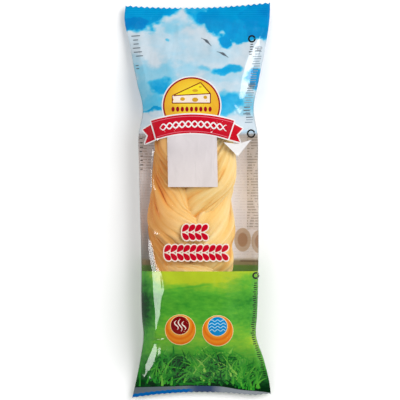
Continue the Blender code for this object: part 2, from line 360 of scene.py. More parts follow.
def filmGrid():
    # a grid of along by across; where the tube is open, a sine crowds the columns towards its edges
    half = film["length"] / 2
    fields = (
        (-half, -half + film["bottomSeal"], 26), (-half + film["bottomSeal"], film["clearBottom"], 118),
        (film["clearBottom"], film["clearTop"], 142), (film["clearTop"], half - film["topSeal"], 118),
        (half - film["topSeal"], half, 30),
    )
    places = np.concatenate([np.linspace(low, high, n + 1)[:-1] for low, high, n in fields] + [[half]])
    turn = np.linspace(-1, 1, film["frontColumns"] + 1)[None, :]
    along = places[:, None]
    opened = openness(along)
    share = (1 - opened) * turn + opened * np.sin(turn * np.pi / 2)
    tooth = 0.5 - 0.5 * np.cos(2 * np.pi * share * 42.5 * mm / film["toothPitch"])
    y = cutEdges(along, turn, tooth)
    left, right = through(inMetres(film["outline"]), 1, y), through(inMetres(film["outline"]), 2, y)
    x = (left + right) / 2 + share * (right - left) / 2
    rim = np.abs(share) > 1 - 1e-9
    edge = through(inMetres(film["sideProfile"]), 1, y)
    front = np.where(rim, edge, filmFront(x, y))
    back = np.where(rim, edge, filmBack(x, y))
    return places, np.stack([x, y, front], 2), np.stack([x, y, back], 2)


places, frontGrid, backGrid = filmGrid()
corners = frontGrid.reshape(-1, 3)
middleX, middleY = ((corners.max(0) + corners.min(0)) / 2)[:2]
shift = np.array([middleX, middleY, 0.0])  # the frame's origin is under the middle of the outline
print("film surface worked out", frontGrid.shape)


# Meshes from arrays

def newObject(name, data):
    made = bpy.data.objects.new(name, data)
    bpy.context.scene.collection.objects.link(made)
    return made


def newPiece(name, points, faces, material, sharp=0.6):
    # smooth shaded, with edges sharper than the angle kept crisp
    mesh = bpy.data.meshes.new(name)
    mesh.from_pydata((points - shift).tolist(), [], faces)
    mesh.validate()
    mesh.shade_smooth()
    mesh.set_sharp_from_angle(angle=sharp)
    piece = newObject(name, mesh)
    for one in material if isinstance(material, list) else [material]:
        mesh.materials.append(one)
    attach(piece, "root")
    return piece


def ringFaces(rows, count, first=0):
    # quads between rings of count points, each ring closed on itself
    ring, k = np.meshgrid(np.arange(rows - 1), np.arange(count), indexing="ij")
    a = first + ring * count + k
    b = first + ring * count + (k + 1) % count
    return np.stack([a, b, b + count, a + count], 2).reshape(-1, 4)


def fanFaces(pole, ring, count, turned):
    # triangles from a pole to the ring of count points whose first point is number ring
    k = np.arange(count)
    after = (k + 1) % count
    pair = (after, k) if turned else (k, after)
    return np.stack([np.full(count, pole), ring + pair[0], ring + pair[1]], 1)


def tubeFaces(rows, count):
    # rings of a tube, closed at each end by a fan round a pole; the poles are the last two points
    body = rows * count
    ends = [fanFaces(body, 0, count, True), fanFaces(body + 1, body - count, count, False)]
    return ringFaces(rows, count).tolist() + np.concatenate(ends).tolist()


def withPoles(points):
    # the points of all rings, then a pole in the middle of the first and of the last
    return np.concatenate([points.reshape(-1, 3), [points[0].mean(0), points[-1].mean(0)]])


def setAttribute(piece, name, values):
    layer = piece.data.attributes.new(name, "FLOAT", "POINT")
    layer.data.foreach_set("value", np.ascontiguousarray(values, dtype=np.float32).ravel())


def filmSurface(x, y, level):
    # points that lie level millimetres above the front of the film
    return np.stack([x, y, filmFront(x, y) + level * mm], -1)


printDepth = 0.14 * mm  # how far print reaches down, so that it is a closed plate sunk in the film


def printPatches(name, outlines, centres, level, material, rings):
    # rings shrink each outline towards its centre; the top lies on the film, the underside printDepth lower
    outlines, centres = np.array(outlines, float) * mm, np.array(centres, float) * mm
    if outlines.ndim == 2:
        outlines, centres = outlines[None], centres[None]
    shapes, count = outlines.shape[:2]
    reach = np.arange(1, rings + 1) / rings
    flat = centres[:, None, None] + reach[None, :, None, None] * (outlines - centres[:, None])[:, None]
    top = filmSurface(flat[..., 0], flat[..., 1], level)
    under = top[:, ::-1] - [0, 0, printDepth]
    pole = filmSurface(centres[:, 0], centres[:, 1], level)[:, None]
    body = np.concatenate([top, under], 1).reshape(shapes, -1, 3)
    points = np.concatenate([pole, body, pole - [0, 0, printDepth]], 1)
    size = points.shape[1]
    quads = ringFaces(2 * rings, count, 1)[:, ::-1]
    lastRing = 1 + (2 * rings - 1) * count
    caps = np.concatenate([fanFaces(0, 1, count, False), fanFaces(size - 1, lastRing, count, True)])
    faces = []
    for shape in range(shapes):
        faces += (quads + shape * size).tolist() + (caps + shape * size).tolist()
    newPiece(name, points.reshape(-1, 3), faces, material)


def printStrokes(name, paths, widths, level, material, tint=None):
    # each path is a line in the plane with a half width at each point: four points round it, closed ends
    paths, widths = np.array(paths, float) * mm, np.array(widths, float) * mm
    shapes, count = paths.shape[:2]
    widths = np.broadcast_to(widths, (shapes, count))
    run = np.gradient(paths, axis=1)
    run /= np.maximum(np.linalg.norm(run, axis=2, keepdims=True), 1e-9)
    side = np.stack([-run[..., 1], run[..., 0]], -1) * widths[..., None]
    left, right = paths + side, paths - side
    topLeft = filmSurface(left[..., 0], left[..., 1], level)
    topRight = filmSurface(right[..., 0], right[..., 1], level)
    depth = np.array([0, 0, printDepth])
    points = np.stack([topLeft, topRight, topRight - depth, topLeft - depth], 2)
    quads = ringFaces(count, 4)
    ends = np.array([[0, 3, 2, 1], np.array([0, 1, 2, 3]) + 4 * (count - 1)])
    each = np.concatenate([quads, ends])[:, ::-1]
    faces = (each[None] + (np.arange(shapes) * count * 4)[:, None, None]).reshape(-1, 4)
    piece = newPiece(name, points.reshape(-1, 3), faces.tolist(), material)
    if tint is not None:
        setAttribute(piece, "tint", np.repeat(tint, count * 4))


def grown(outline, margin):
    # each point moves out along the normal of its neighbours' chord
    outline = np.array(outline, float)
    chord = np.roll(outline, -1, -2) - np.roll(outline, 1, -2)
    normal = np.stack([chord[..., 1], -chord[..., 0]], -1)
    return outline + margin * normal / np.linalg.norm(normal, axis=-1, keepdims=True)


def alongEdges(points, step=0.7):
    # points every step along the straight edges of a closed outline, anticlockwise
    points = [np.array(p, float) for p in points]
    rows = []
    for a, b in zip(points, points[1:] + points[:1]):
        count = max(int(np.linalg.norm(b - a) / step), 1)
        rows.append(a + (b - a) * (np.arange(count) / count)[:, None])
    return np.concatenate(rows)


def ellipse(centre, rx, ry, count=72):
    # anticlockwise, by the cosine and sine of an even turn
    turn = np.arange(count) * 2 * np.pi / count
    return np.stack([centre[0] + rx * np.cos(turn), centre[1] + ry * np.sin(turn)], 1)


def printDisc(name, centre, radius, level, material, rings, count=72):
    printPatches(name, ellipse(centre, radius, radius, count), centre, level, material, rings)


# Shader helpers

def linear(red, green, blue):
    # a screen colour, 0 to 255, as scene light
    c = np.array([red, green, blue]) / 255
    return (*np.where(c < 0.04045, c / 12.92, ((c + 0.055) / 1.055) ** 2.4), 1.0)


def setInputs(tree, node, values):
    # a socket is linked, anything else is set as the input's own value
    for key, value in values.items():
        if isinstance(value, bpy.types.NodeSocket):
            tree.links.new(value, node.inputs[key])
        else:
            node.inputs[key].default_value = value


def addNode(tree, kind, values=None, **settings):
    made = tree.nodes.new(kind)
    for key, value in settings.items():
        setattr(made, key, value)
    setInputs(tree, made, values or {})
    return made


def mixColour(tree, share, a, b, blend="MIX"):
    made = addNode(tree, "ShaderNodeMix", {0: share, 6: a, 7: b}, data_type="RGBA", blend_type=blend)
    return made.outputs[2]


def maths(tree, operation, a, b=0.0, clamp=False):
    return addNode(tree, "ShaderNodeMath", {0: a, 1: b}, operation=operation, use_clamp=clamp).outputs[0]


def weighed(tree, a, shareA, b, shareB):
    # the sum of two values, each times its share
    return maths(tree, "ADD", maths(tree, "MULTIPLY", a, shareA), maths(tree, "MULTIPLY", b, shareB))


def varied(tree, value, pattern, amount, clamp=False):
    # the value, moved up and down by how far a pattern lies from 0.5
    moved = maths(tree, "MULTIPLY", maths(tree, "SUBTRACT", pattern, 0.5), amount)
    return maths(tree, "ADD", value, moved, clamp)


def between(tree, value, low, high, first=0.0, last=1.0):
    # first at low, last at high, smoothstep between
    made = addNode(tree, "ShaderNodeMapRange", {0: value, 1: low, 2: high, 3: first, 4: last})
    made.interpolation_type = "SMOOTHSTEP"
    return made.outputs[0]


def colourRamp(tree, value, stops):
    # each stop is a place from 0 to 1 and a screen colour
    made = addNode(tree, "ShaderNodeValToRGB", {0: value})
    while len(made.color_ramp.elements) < len(stops):
        made.color_ramp.elements.new(0.5)
    for element, (place, colour) in zip(made.color_ramp.elements, stops):
        element.position, element.color = place, linear(*colour)
    return made.outputs[0]


def noise(tree, vector, scale, detail=2.0, stretch=(1, 1, 1)):
    # a larger stretch makes the pattern finer along that axis
    placed = addNode(tree, "ShaderNodeMapping", {"Vector": vector, "Scale": stretch}).outputs[0]
    values = {"Vector": placed, "Scale": scale, "Detail": detail}
    return addNode(tree, "ShaderNodeTexNoise", values).outputs[0]


def attribute(tree, name):
    return addNode(tree, "ShaderNodeAttribute", attribute_name=name).outputs["Fac"]


def distanceFrom(tree, vector, x, y, squash=1.0):
    # how far a point lies from x, y in the plane, with its way across multiplied by squash
    kind = "ShaderNodeVectorMath"
    away = addNode(tree, kind, {0: vector, 1: (x, y, 0)}, operation="SUBTRACT").outputs[0]
    flat = addNode(tree, kind, {0: away, 1: (squash, 1, 0)}, operation="MULTIPLY").outputs[0]
    return addNode(tree, kind, {0: flat}, operation="LENGTH").outputs["Value"]


def newGroup(name, inputs, outputs):
    group = bpy.data.node_groups.new(name, "ShaderNodeTree")
    for socket, kind in inputs:
        group.interface.new_socket(name=socket, in_out="INPUT", socket_type=kind)
    for socket, kind in outputs:
        group.interface.new_socket(name=socket, in_out="OUTPUT", socket_type=kind)
    return group, group.nodes.new("NodeGroupInput"), group.nodes.new("NodeGroupOutput")


def filmCrinkleGroup():
    # fine creases and slack of thin film, as a normal
    group, source, result = newGroup(
        "filmCrinkle",
        [("Vector", "NodeSocketVector"), ("Scale", "NodeSocketFloat"), ("Strength", "NodeSocketFloat")],
        [("Normal", "NodeSocketVector")])
    vector, scale, strength = source.outputs["Vector"], source.outputs["Scale"], source.outputs["Strength"]
    slack = noise(group, vector, 120, 2, (1, 0.5, 1))
    place = addNode(group, "ShaderNodeVectorMath", {0: vector, 3: scale}, operation="SCALE").outputs[0]
    values = {"Vector": place, "Scale": 1.0, "Detail": 3.0, "Distortion": 0.6}
    creases = addNode(group, "ShaderNodeTexNoise", values).outputs[0]
    fold = maths(group, "ABSOLUTE", maths(group, "SUBTRACT", creases, 0.5))
    height = weighed(group, slack, 0.5, fold, -0.55)
    bump = addNode(group, "ShaderNodeBump", {"Height": height, "Strength": strength, "Distance": 0.0006})
    group.links.new(bump.outputs[0], result.inputs["Normal"])
    return group


def inkGrainGroup():
    # print is never quite even: a slow drift and a fine speckle, as a darker or lighter share of the colour
    group, source, result = newGroup(
        "inkGrain",
        [("Colour", "NodeSocketColor"), ("Vector", "NodeSocketVector"), ("Amount", "NodeSocketFloat")],
        [("Colour", "NodeSocketColor")])
    colour, vector, amount = source.outputs["Colour"], source.outputs["Vector"], source.outputs["Amount"]
    drift = noise(group, vector, 90, 3)
    speck = noise(group, vector, 2400, 1)
    both = weighed(group, drift, 0.7, speck, 0.3)
    tone = addNode(group, "ShaderNodeMapRange", {0: both, 1: 0.3, 2: 0.7, 3: 0.72, 4: 1.28}).outputs[0]
    toned = addNode(group, "ShaderNodeCombineColor", {0: tone, 1: tone, 2: tone}).outputs[0]
    changed = mixColour(group, amount, colour, mixColour(group, 1.0, colour, toned, "MULTIPLY"))
    group.links.new(changed, result.inputs["Colour"])
    return group


crinkleGroup = filmCrinkleGroup()
grainGroup = inkGrainGroup()


def startMaterial(name):
    # its tree, its own shader, and the place on the piece in metres
    material = bpy.data.materials.new(name)
    material.use_nodes = True
    tree = material.node_tree
    vector = addNode(tree, "ShaderNodeTexCoord").outputs["Object"]
    return material, tree, tree.nodes["Principled BSDF"], vector


inkTone = 0.78  # inks take up this share of the light that bare white film would give back


def crinkled(tree, vector, scale, strength):
    values = {"Vector": vector, "Scale": scale, "Strength": strength}
    return addNode(tree, "ShaderNodeGroup", values, node_tree=crinkleGroup).outputs[0]


def filmFinish(tree, shader, vector, colour, strength=0.08, grain=0.3, inside=None):
    # print under glossy film; the inner side is duller and paler, and glows a little: painted light that
    # stands in for the light coming through the print
    if isinstance(colour, bpy.types.NodeSocket):
        colour = mixColour(tree, 1.0, colour, (inkTone, inkTone, inkTone, 1.0), "MULTIPLY")
    else:
        colour = (*(inkTone * part for part in colour[:3]), 1.0)
    values = {"Colour": colour, "Vector": vector, "Amount": grain}
    shown = addNode(tree, "ShaderNodeGroup", values, node_tree=grainGroup).outputs[0]
    if inside is not None:
        # painted light: seen from inside, the film glows faintly in its inner colour
        facing = addNode(tree, "ShaderNodeNewGeometry").outputs["Backfacing"]
        shown = mixColour(tree, facing, shown, inside)
        glow = mixColour(tree, facing, (0, 0, 0, 1), inside)
        setInputs(tree, shader, {"Emission Color": glow, "Emission Strength": 0.16})
    normal = crinkled(tree, vector, 260.0, strength)
    setInputs(tree, shader, {
        "Base Color": shown,
        "Normal": normal,
        "Coat Normal": normal,
        "Roughness": between(tree, noise(tree, vector, 60, 2), 0.3, 0.8, 0.20, 0.30),
        "Specular IOR Level": 0.15,
        "Coat Weight": 0.8,
        "Coat Roughness": 0.06,
        "IOR": 1.46,
    })


def splitAxes(tree, vector, axis=None):
    made = addNode(tree, "ShaderNodeSeparateXYZ", {0: vector})
    return (made.outputs[0], made.outputs[1]) if axis is None else made.outputs[axis]


# Print fields of the film, as soft masks worked out for every point of the film

sky = {
    "ragged": 1.7,
    "warp": 7.0,
    "patches": (  # blue between clouds: x, y, half width, half height, depth of colour, softness of edge
        (-34.0, 113.0, 18.0, 11.0, 0.80, 0.20), (-20.0, 116.0, 10.0, 7.0, 0.78, 0.30),
        (-37.0, 105.5, 10.0, 5.0, 0.94, 0.24), (-12.0, 104.0, 8.0, 5.0, 0.32, 0.60),
        (22.0, 108.0, 23.0, 12.0, 0.84, 0.14), (36.0, 108.0, 12.0, 12.0, 0.92, 0.20),
        (15.2, 93.8, 5.0, 4.4, 0.82, 0.20), (27.0, 98.0, 10.0, 5.0, 0.80, 0.14),
        (1.0, 110.0, 7.0, 7.0, 0.72, 0.35), (-17.6, 96.0, 1.6, 0.9, 0.60, 0.30),
        (17.5, 77.0, 9.2, 2.5, 0.74, 0.34), (4.5, 78.2, 5.0, 2.2, 0.42, 0.50),
        (14.0, 72.0, 16.0, 6.0, 0.20, 0.60), (-20.8, 67.0, 8.2, 4.7, 0.72, 0.46),
        (-24.0, 73.0, 14.0, 9.0, 0.34, 0.60), (-31.0, 62.0, 9.0, 9.0, 0.38, 0.60),
        (34.5, 71.5, 5.5, 7.5, 0.82, 0.26), (18.0, 57.0, 10.5, 6.5, 0.70, 0.50),
        (-27.5, 57.0, 10.0, 5.5, 0.52, 0.50), (30.0, 57.0, 8.0, 5.0, 0.40, 0.50),
        (-26.0, 53.4, 11.0, 1.3, 0.80, 0.35), (22.0, 52.0, 16.0, 3.5, 0.26, 0.60),
        (0.0, 88.0, 20.0, 9.0, 0.10, 0.70), (-36.0, 81.0, 6.0, 8.0, 0.12, 0.60),
        (-14.0, 93.0, 11.0, 8.0, 0.15, 0.70), (-4.0, 77.0, 13.0, 5.0, 0.22, 0.60),
    ),
}

meadow = {
    "tones": (  # along the pack, tone from deep grass, 0, to sunlit yellow green, 1
        (-117.5, 0.08), (-109.0, 0.16), (-103.0, 0.40), (-95.0, 0.56), (-86.0, 0.72), (-76.0, 0.72),
        (-68.0, 0.62), (-60.0, 0.58), (-55.0, 0.64), (-51.0, 0.78), (-47.0, 0.96), (-42.0, 0.98),
    ),
    "patches": (  # x, y, half width, half height, change of tone
        (30.0, -45.5, 12.0, 5.0, -0.26), (18.0, -53.5, 10.0, 4.0, 0.14), (30.0, -58.0, 9.0, 5.0, -0.12),
        # the patch at x -33 and the one at x -30 darken the film's left flank: painted shade
        (-33.0, -62.0, 7.0, 28.0, -0.42), (-2.0, -81.0, 8.0, 6.0, 0.12), (28.0, -85.0, 10.0, 6.0, 0.14),
        (-12.0, -97.0, 8.0, 6.0, -0.48), (10.0, -97.0, 8.0, 7.0, -0.50), (-24.0, -98.0, 7.0, 5.0, -0.20),
        (0.0, -107.0, 24.0, 3.4, -0.34), (26.0, -103.0, 6.0, 5.0, -0.30), (-30.0, -46.0, 5.0, 6.0, -0.30),
    ),
    "foot": (  # where the grass ends and the bare band of the seal begins: across, along
        (-40.0, -111.3), (-20.0, -110.8), (0.0, -110.3), (14.0, -110.8), (26.0, -112.8), (36.0, -113.6),
        (44.0, -114.6),
    ),
}


def skyBlue(x, y):
    # the deepest of the blue patches at each point, its edge broken up by noise like the edge of a cloud
    ragged = sky["ragged"] * (softNoise(x / (7 * mm), y / (5 * mm), 3, 5) - 0.5)
    warpedX = x / mm + sky["warp"] * (softNoise(x / (10 * mm), y / (8 * mm), 13, 4) - 0.5)
    warpedY = y / mm + sky["warp"] * (softNoise(x / (9 * mm), y / (7 * mm), 23, 4) - 0.5)
    blue = np.zeros(np.shape(x))
    for cx, cy, rx, ry, depth, soft in sky["patches"]:
        inside = 1 - np.hypot((warpedX - cx) / rx, (warpedY - cy) / ry)
        blue = np.maximum(blue, depth * ramp(-soft, soft, inside + ragged * (0.4 + soft)))
    return blue


def meadowTone(x, y):
    # the tone along the pack, changed by soft patches, by a rise in the ground and by mottling; the rise is
    # lighter above its line and has a dark line along it
    tone = through(inMetres(meadow["tones"]) * [1, 1 / mm], 1, y)
    for cx, cy, rx, ry, change in meadow["patches"]:
        away = ((x - cx * mm) / (rx * mm)) ** 2 + ((y - cy * mm) / (ry * mm)) ** 2
        tone = tone + change * np.exp(-away)
    hill = (y + 50.5 * mm - 0.13 * x) / mm
    line = np.exp(-((hill / 0.5) ** 2)) * (1 - ramp(2 * mm, 16 * mm, x)) * ramp(-24 * mm, -12 * mm, x)
    mottled = softNoise(x / (11 * mm), y / (4 * mm), 8, 3) - 0.5
    return tone + 0.1 * (ramp(-2.5, 2.5, hill) - 0.5) - 0.16 * line + 0.18 * mottled


def skyMaterial():
    # from cloud white to deep blue, the share of blue loosened by wisps and puffs
    material, tree, shader, vector = startMaterial("skyPrint")
    tone = varied(tree, attribute(tree, "blue"), noise(tree, vector, 150, 6, (1, 1.5, 1)), 0.22)
    tone = varied(tree, tone, noise(tree, vector, 45, 3, (1, 1.3, 1)), 0.28, True)
    colour = colourRamp(tree, tone, (
        (0.00, (210, 224, 234)), (0.12, (186, 216, 232)), (0.34, (138, 206, 232)), (0.58, (70, 190, 230)),
        (0.76, (0, 164, 222)), (1.00, (0, 126, 200))))
    filmFinish(tree, shader, vector, colour, inside=linear(176, 178, 176))
    return material


def meadowMaterial():
    # grass down to the bare band of the seal, which is grey, bluish in the middle, with a blue line along
    # the left half of its cut
    material, tree, shader, vector = startMaterial("meadowPrint")
    tone = varied(tree, attribute(tree, "meadow"), noise(tree, vector, 430, 5, (0.55, 1.3, 1)), 0.37)
    tone = varied(tree, tone, noise(tree, vector, 60, 2, (0.5, 1.6, 1)), 0.25, True)
    colour = colourRamp(tree, tone, (
        (0.02, (4, 44, 16)), (0.20, (10, 84, 28)), (0.42, (52, 144, 42)), (0.60, (86, 172, 50)),
        (0.78, (126, 188, 50)), (0.97, (184, 204, 44))))
    x = splitAxes(tree, vector)[0]
    across = colourRamp(tree, between(tree, x, -0.04, 0.044), (
        (0.0, (98, 110, 118)), (0.34, (112, 122, 130)), (0.46, (62, 82, 116)), (0.60, (58, 76, 112)),
        (0.72, (138, 146, 156)), (1.0, (150, 156, 162))))
    waved = maths(tree, "MULTIPLY", noise(tree, vector, 90, 2), 0.6)
    line = maths(tree, "ADD", attribute(tree, "cutRise"), waved)
    low = maths(tree, "MULTIPLY", between(tree, line, 2.5, 2.1), between(tree, x, -0.001, -0.006))
    across = mixColour(tree, low, across, linear(0, 98, 172))
    bare = between(tree, attribute(tree, "bare"), -0.12, 0.12)
    shown = mixColour(tree, bare, colour, across)
    filmFinish(tree, shader, vector, shown, inside=linear(150, 158, 140))
    return material


def clearMaterial():
    # clear film: nothing but its gloss, and a breath of haze that thickens where the sky print fades out
    material, tree, shader, vector = startMaterial("clearFilm")
    x, y = splitAxes(tree, vector)
    normal = crinkled(tree, vector, 220.0, 0.05)
    facing = addNode(tree, "ShaderNodeLayerWeight", {"Blend": 0.5, "Normal": normal}).outputs["Facing"]
    grazing = maths(tree, "MULTIPLY", maths(tree, "POWER", facing, 5.0), 0.85)
    gloss = maths(tree, "ADD", grazing, 0.05, True)
    mirror = addNode(tree, "ShaderNodeBsdfGlossy", {"Roughness": 0.12, "Normal": normal}).outputs[0]
    clear = addNode(tree, "ShaderNodeBsdfTransparent", {"Color": (0.985, 0.985, 0.98, 1)}).outputs[0]
    pane = addNode(tree, "ShaderNodeMixShader", {0: gloss, 1: clear, 2: mirror}).outputs[0]
    tint = mixColour(tree, between(tree, x, -0.03, 0.03), linear(205, 212, 220), linear(172, 204, 226))
    setInputs(tree, shader, {"Base Color": tint, "Normal": normal, "Roughness": 0.25})
    cloudy = maths(tree, "MULTIPLY", noise(tree, vector, 40, 2), 0.012)
    haze = maths(tree, "ADD", between(tree, y, 0.0375, 0.0412, 0.0, 0.9), cloudy, True)
    whole = addNode(tree, "ShaderNodeMixShader", {0: haze, 1: pane, 2: shader.outputs[0]}).outputs[0]
    tree.links.new(whole, tree.nodes["Material Output"].inputs[0])
    return material


def backPrint(tree, vector, y):
    # the outside of the back: sky, a pale panel and meadow
    clouds = colourRamp(tree, noise(tree, vector, 55, 4, (1, 1.4, 1)), (
        (0.35, (20, 150, 215)), (0.52, (140, 196, 226)), (0.62, (212, 224, 234))))
    grass = colourRamp(tree, noise(tree, vector, 120, 4, (0.7, 1.4, 1)), (
        (0.3, (40, 120, 40)), (0.5, (84, 160, 50)), (0.7, (150, 188, 52))))
    low = mixColour(tree, between(tree, y, -0.0365, -0.0335), grass, linear(226, 220, 212))
    return mixColour(tree, between(tree, y, 0.049, 0.052), low, clouds)


backInside = {  # the inner side of the back film, in metres; a pair is where a soft edge starts and ends
    "panel": (-0.0365, -0.0335),
    "rowScale": 190.0,
    "barLength": (500, 190, 1),
    "columnRight": {"x": (0.0290, 0.0296), "y": (-0.0180, -0.0165)},
    "columnLeft": {"x": (-0.0240, -0.0244), "y": (0.0165, 0.0185)},
    # corner: painted shade that darkens the inside's lower left towards dark olive
    "corner": {"x": (-0.026, -0.032), "y": (-0.010, -0.036)},
    "discs": ((0.0267, -0.0236), (0.0368, -0.0246)),
    "discEdge": (0.0074, 0.0066),
    "coreEdge": (0.0048, 0.0036),
    "discSquash": 1.42,
    "rule": -0.0362,
    "green": (-0.0378, -0.0392),
}


def backMaterial():
    # outside its own print; inside the pale back of the print, seen through the clear band, with painted
    # shade that darkens it towards the left and most in the lower left corner
    material, tree, shader, vector = startMaterial("backFilm")
    one = backInside
    x, y = splitAxes(tree, vector)
    values = {"Vector": vector, "Scale": one["rowScale"], "Distortion": 0.0}
    rows = addNode(tree, "ShaderNodeTexWave", values, bands_direction="Y").outputs["Fac"]
    bars = maths(tree, "GREATER_THAN", noise(tree, vector, 1, 2, one["barLength"]), 0.46)
    printed = maths(tree, "MULTIPLY", between(tree, rows, 0.45, 0.75), bars)
    right, left, corner = one["columnRight"], one["columnLeft"], one["corner"]
    column = maths(tree, "MULTIPLY", between(tree, x, *right["x"]), between(tree, y, *right["y"]))
    beside = between(tree, y, *left["y"], 0.1, 0.4)
    beside = maths(tree, "MULTIPLY", between(tree, x, *left["x"]), beside)
    share = maths(tree, "MAXIMUM", maths(tree, "MULTIPLY", column, 0.5), beside)
    share = maths(tree, "MAXIMUM", share, between(tree, x, 0.02, 0.0225, 0.0, 0.1))
    # painted shade: the inside is a little darker towards the left
    pale = mixColour(tree, between(tree, x, -0.02, 0.02), linear(230, 235, 243), linear(245, 245, 253))
    pale = mixColour(tree, maths(tree, "MULTIPLY", column, 0.3), pale, linear(196, 186, 172))
    pale = mixColour(tree, maths(tree, "MULTIPLY", printed, share), pale, linear(116, 104, 96))
    # painted shade: the lower left corner of the inside darkens towards dark olive
    dark = maths(tree, "MULTIPLY", between(tree, y, *corner["y"]), between(tree, x, *corner["x"], 0.0, 0.7))
    pale = mixColour(tree, dark, pale, linear(84, 88, 66))
    for discX, discY in one["discs"]:
        reach = distanceFrom(tree, vector, discX, discY, one["discSquash"])
        disc = between(tree, reach, *one["discEdge"], 0.0, 0.72)
        core = between(tree, reach, *one["coreEdge"], 0.0, 0.7)
        pale = mixColour(tree, disc, pale, linear(186, 156, 112))
        pale = mixColour(tree, core, pale, linear(168, 122, 84))
    inside = mixColour(tree, between(tree, y, *one["panel"]), linear(154, 142, 106), pale)
    rule = maths(tree, "ABSOLUTE", maths(tree, "SUBTRACT", y, one["rule"]))
    rule = between(tree, rule, 0.0007, 0.0004, 0.0, 0.6)
    rule = maths(tree, "MULTIPLY", rule, between(tree, x, 0.0245, 0.0260))
    inside = mixColour(tree, rule, inside, linear(106, 84, 66))
    inside = mixColour(tree, between(tree, y, *one["green"]), inside, linear(104, 146, 62))
    filmFinish(tree, shader, vector, backPrint(tree, vector, y), inside=inside)
    return material


def buildFilm():
    # one closed tube: the front's columns, then every other one of the back's, and caps over the two cuts
    edge = film["frontColumns"]
    backPart = backGrid[:, ::2]
    rings = np.concatenate([frontGrid, backPart[:, -2:0:-1]], 1)
    rows, count = rings.shape[:2]
    faces = ringFaces(rows, count).tolist()
    middle = (places[:-1] + places[1:]) / 2
    zone = np.where(middle < film["clearBottom"], 1, np.where(middle < film["clearTop"], 2, 0))
    index = np.repeat(zone[:, None], count, 1)
    index[:, edge:] = 3
    index = index.ravel().tolist()
    for first, turned in ((0, True), ((rows - 1) * count, False)):
        under = [first, *range(first + count - 1, first + edge, -1), first + edge]
        for k in range(edge // 2):
            loop = [first + 2 * k, first + 2 * k + 1, first + 2 * k + 2, under[k + 1], under[k]]
            loop = list(dict.fromkeys(loop))
            faces.append(loop if turned else loop[::-1])
            index.append(1 if turned else 0)
    materials = [skyMaterial(), meadowMaterial(), clearMaterial(), backMaterial()]
    piece = newPiece("film", rings.reshape(-1, 3), faces, materials, sharp=1.2)
    piece.data.polygons.foreach_set("material_index", index)
    flat = rings.reshape(-1, 3)
    setAttribute(piece, "blue", skyBlue(flat[:, 0], flat[:, 1]))
    setAttribute(piece, "meadow", meadowTone(flat[:, 0], flat[:, 1]))
    foot = through(inMetres(meadow["foot"]), 1, flat[:, 0])
    setAttribute(piece, "bare", (foot - flat[:, 1]) / mm)
    setAttribute(piece, "cutRise", (flat[:, 1] - np.tile(rings[0, :, 1], rows)) / mm)
    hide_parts("pack")


buildFilm()
print("film made")


# The plaited cheese

cheese = {
    "around": 232,
    "along": 424,
    "grooves": 30,
    "grooveDepth": (0.15 * mm, 0.95 * mm),
    "grooveWidth": (0.010, 0.080),  # as a share of a turn
    "grooveLength": (9 * mm, 34 * mm),
    "roll": 1.35,  # how far the fibres roll over as a strand turns at the plait's edge
    "ends": (50 * mm, -62 * mm),
    "taper": 9 * mm,
    "pinch": {"at": -46 * mm, "reach": 9 * mm, "depth": 0.30},  # under the turn of strand round the plait
    "squareness": 2.4,  # exponent of the section's outline: 2 is an ellipse
    "filmGap": 0.45 * mm,
    "sides": (  # where along the plait, left side, right side
        (-62, -21.0, 15.0), (-50, -23.0, 18.5), (-43, -24.6, 20.2), (-38, -25.4, 21.2), (-32, -26.4, 20.9),
        (-27, -27.6, 20.2), (-21, -29.0, 22.0), (-15, -29.8, 22.3), (-8, -29.6, 21.0), (0, -28.4, 19.9),
        (8, -27.4, 21.6), (15.5, -27.0, 22.7), (25, -26.3, 22.5), (35, -25.4, 21.0), (50, -23.0, 18.0),
    ),
}


def cheeseMaterial():
    # painted shade and highlight: a darker amber deep in the grooves, pale cream on the crests, and darker
    # and browner towards the left, away from the light
    material, tree, shader, vector = startMaterial("smokedCheese")
    fibre = addNode(tree, "ShaderNodeUVMap", uv_map="strand").outputs[0]
    fine = noise(tree, fibre, 1.0, 3, (30, 110, 1))
    broad = noise(tree, fibre, 1.0, 3, (12, 20, 1))
    # the depth attribute is low in the grooves and high on the crests, so the ramp paints shade into the
    # grooves and highlight onto the crests; the broad and fine noise add random tone
    tone = varied(tree, attribute(tree, "depth"), broad, 0.55)
    tone = varied(tree, tone, fine, 0.16, True)
    colour = colourRamp(tree, tone, (
        (0.05, (208, 124, 42)), (0.28, (234, 168, 80)), (0.50, (240, 196, 116)), (0.72, (242, 206, 136)),
        (0.95, (245, 215, 155))))
    x = splitAxes(tree, vector)[0]
    # painted shade: the colour is multiplied down towards the left, most in blue and least in red, so the
    # left side is darker and browner
    leftShade = [between(tree, x, -0.031, 0.005, low, 1.0) for low in (0.82, 0.51, 0.23)]
    smoke = addNode(tree, "ShaderNodeCombineColor", dict(enumerate(leftShade))).outputs[0]
    grain = noise(tree, vector, 900, 2)
    height = weighed(tree, fine, 0.75, grain, 0.25)
    bump = addNode(tree, "ShaderNodeBump", {"Height": height, "Strength": 0.35, "Distance": 0.0006})
    setInputs(tree, shader, {
        "Base Color": mixColour(tree, 1.0, colour, smoke, "MULTIPLY"),
        "Subsurface Weight": 0.12,
        "Subsurface Radius": (1.0, 0.7, 0.4),
        "Subsurface Scale": 0.0015,
        "Coat Weight": 0.0,
        "Roughness": between(tree, fine, 0.3, 0.7, 0.42, 0.58),
        "Normal": bump.outputs[0],
    })
    return material


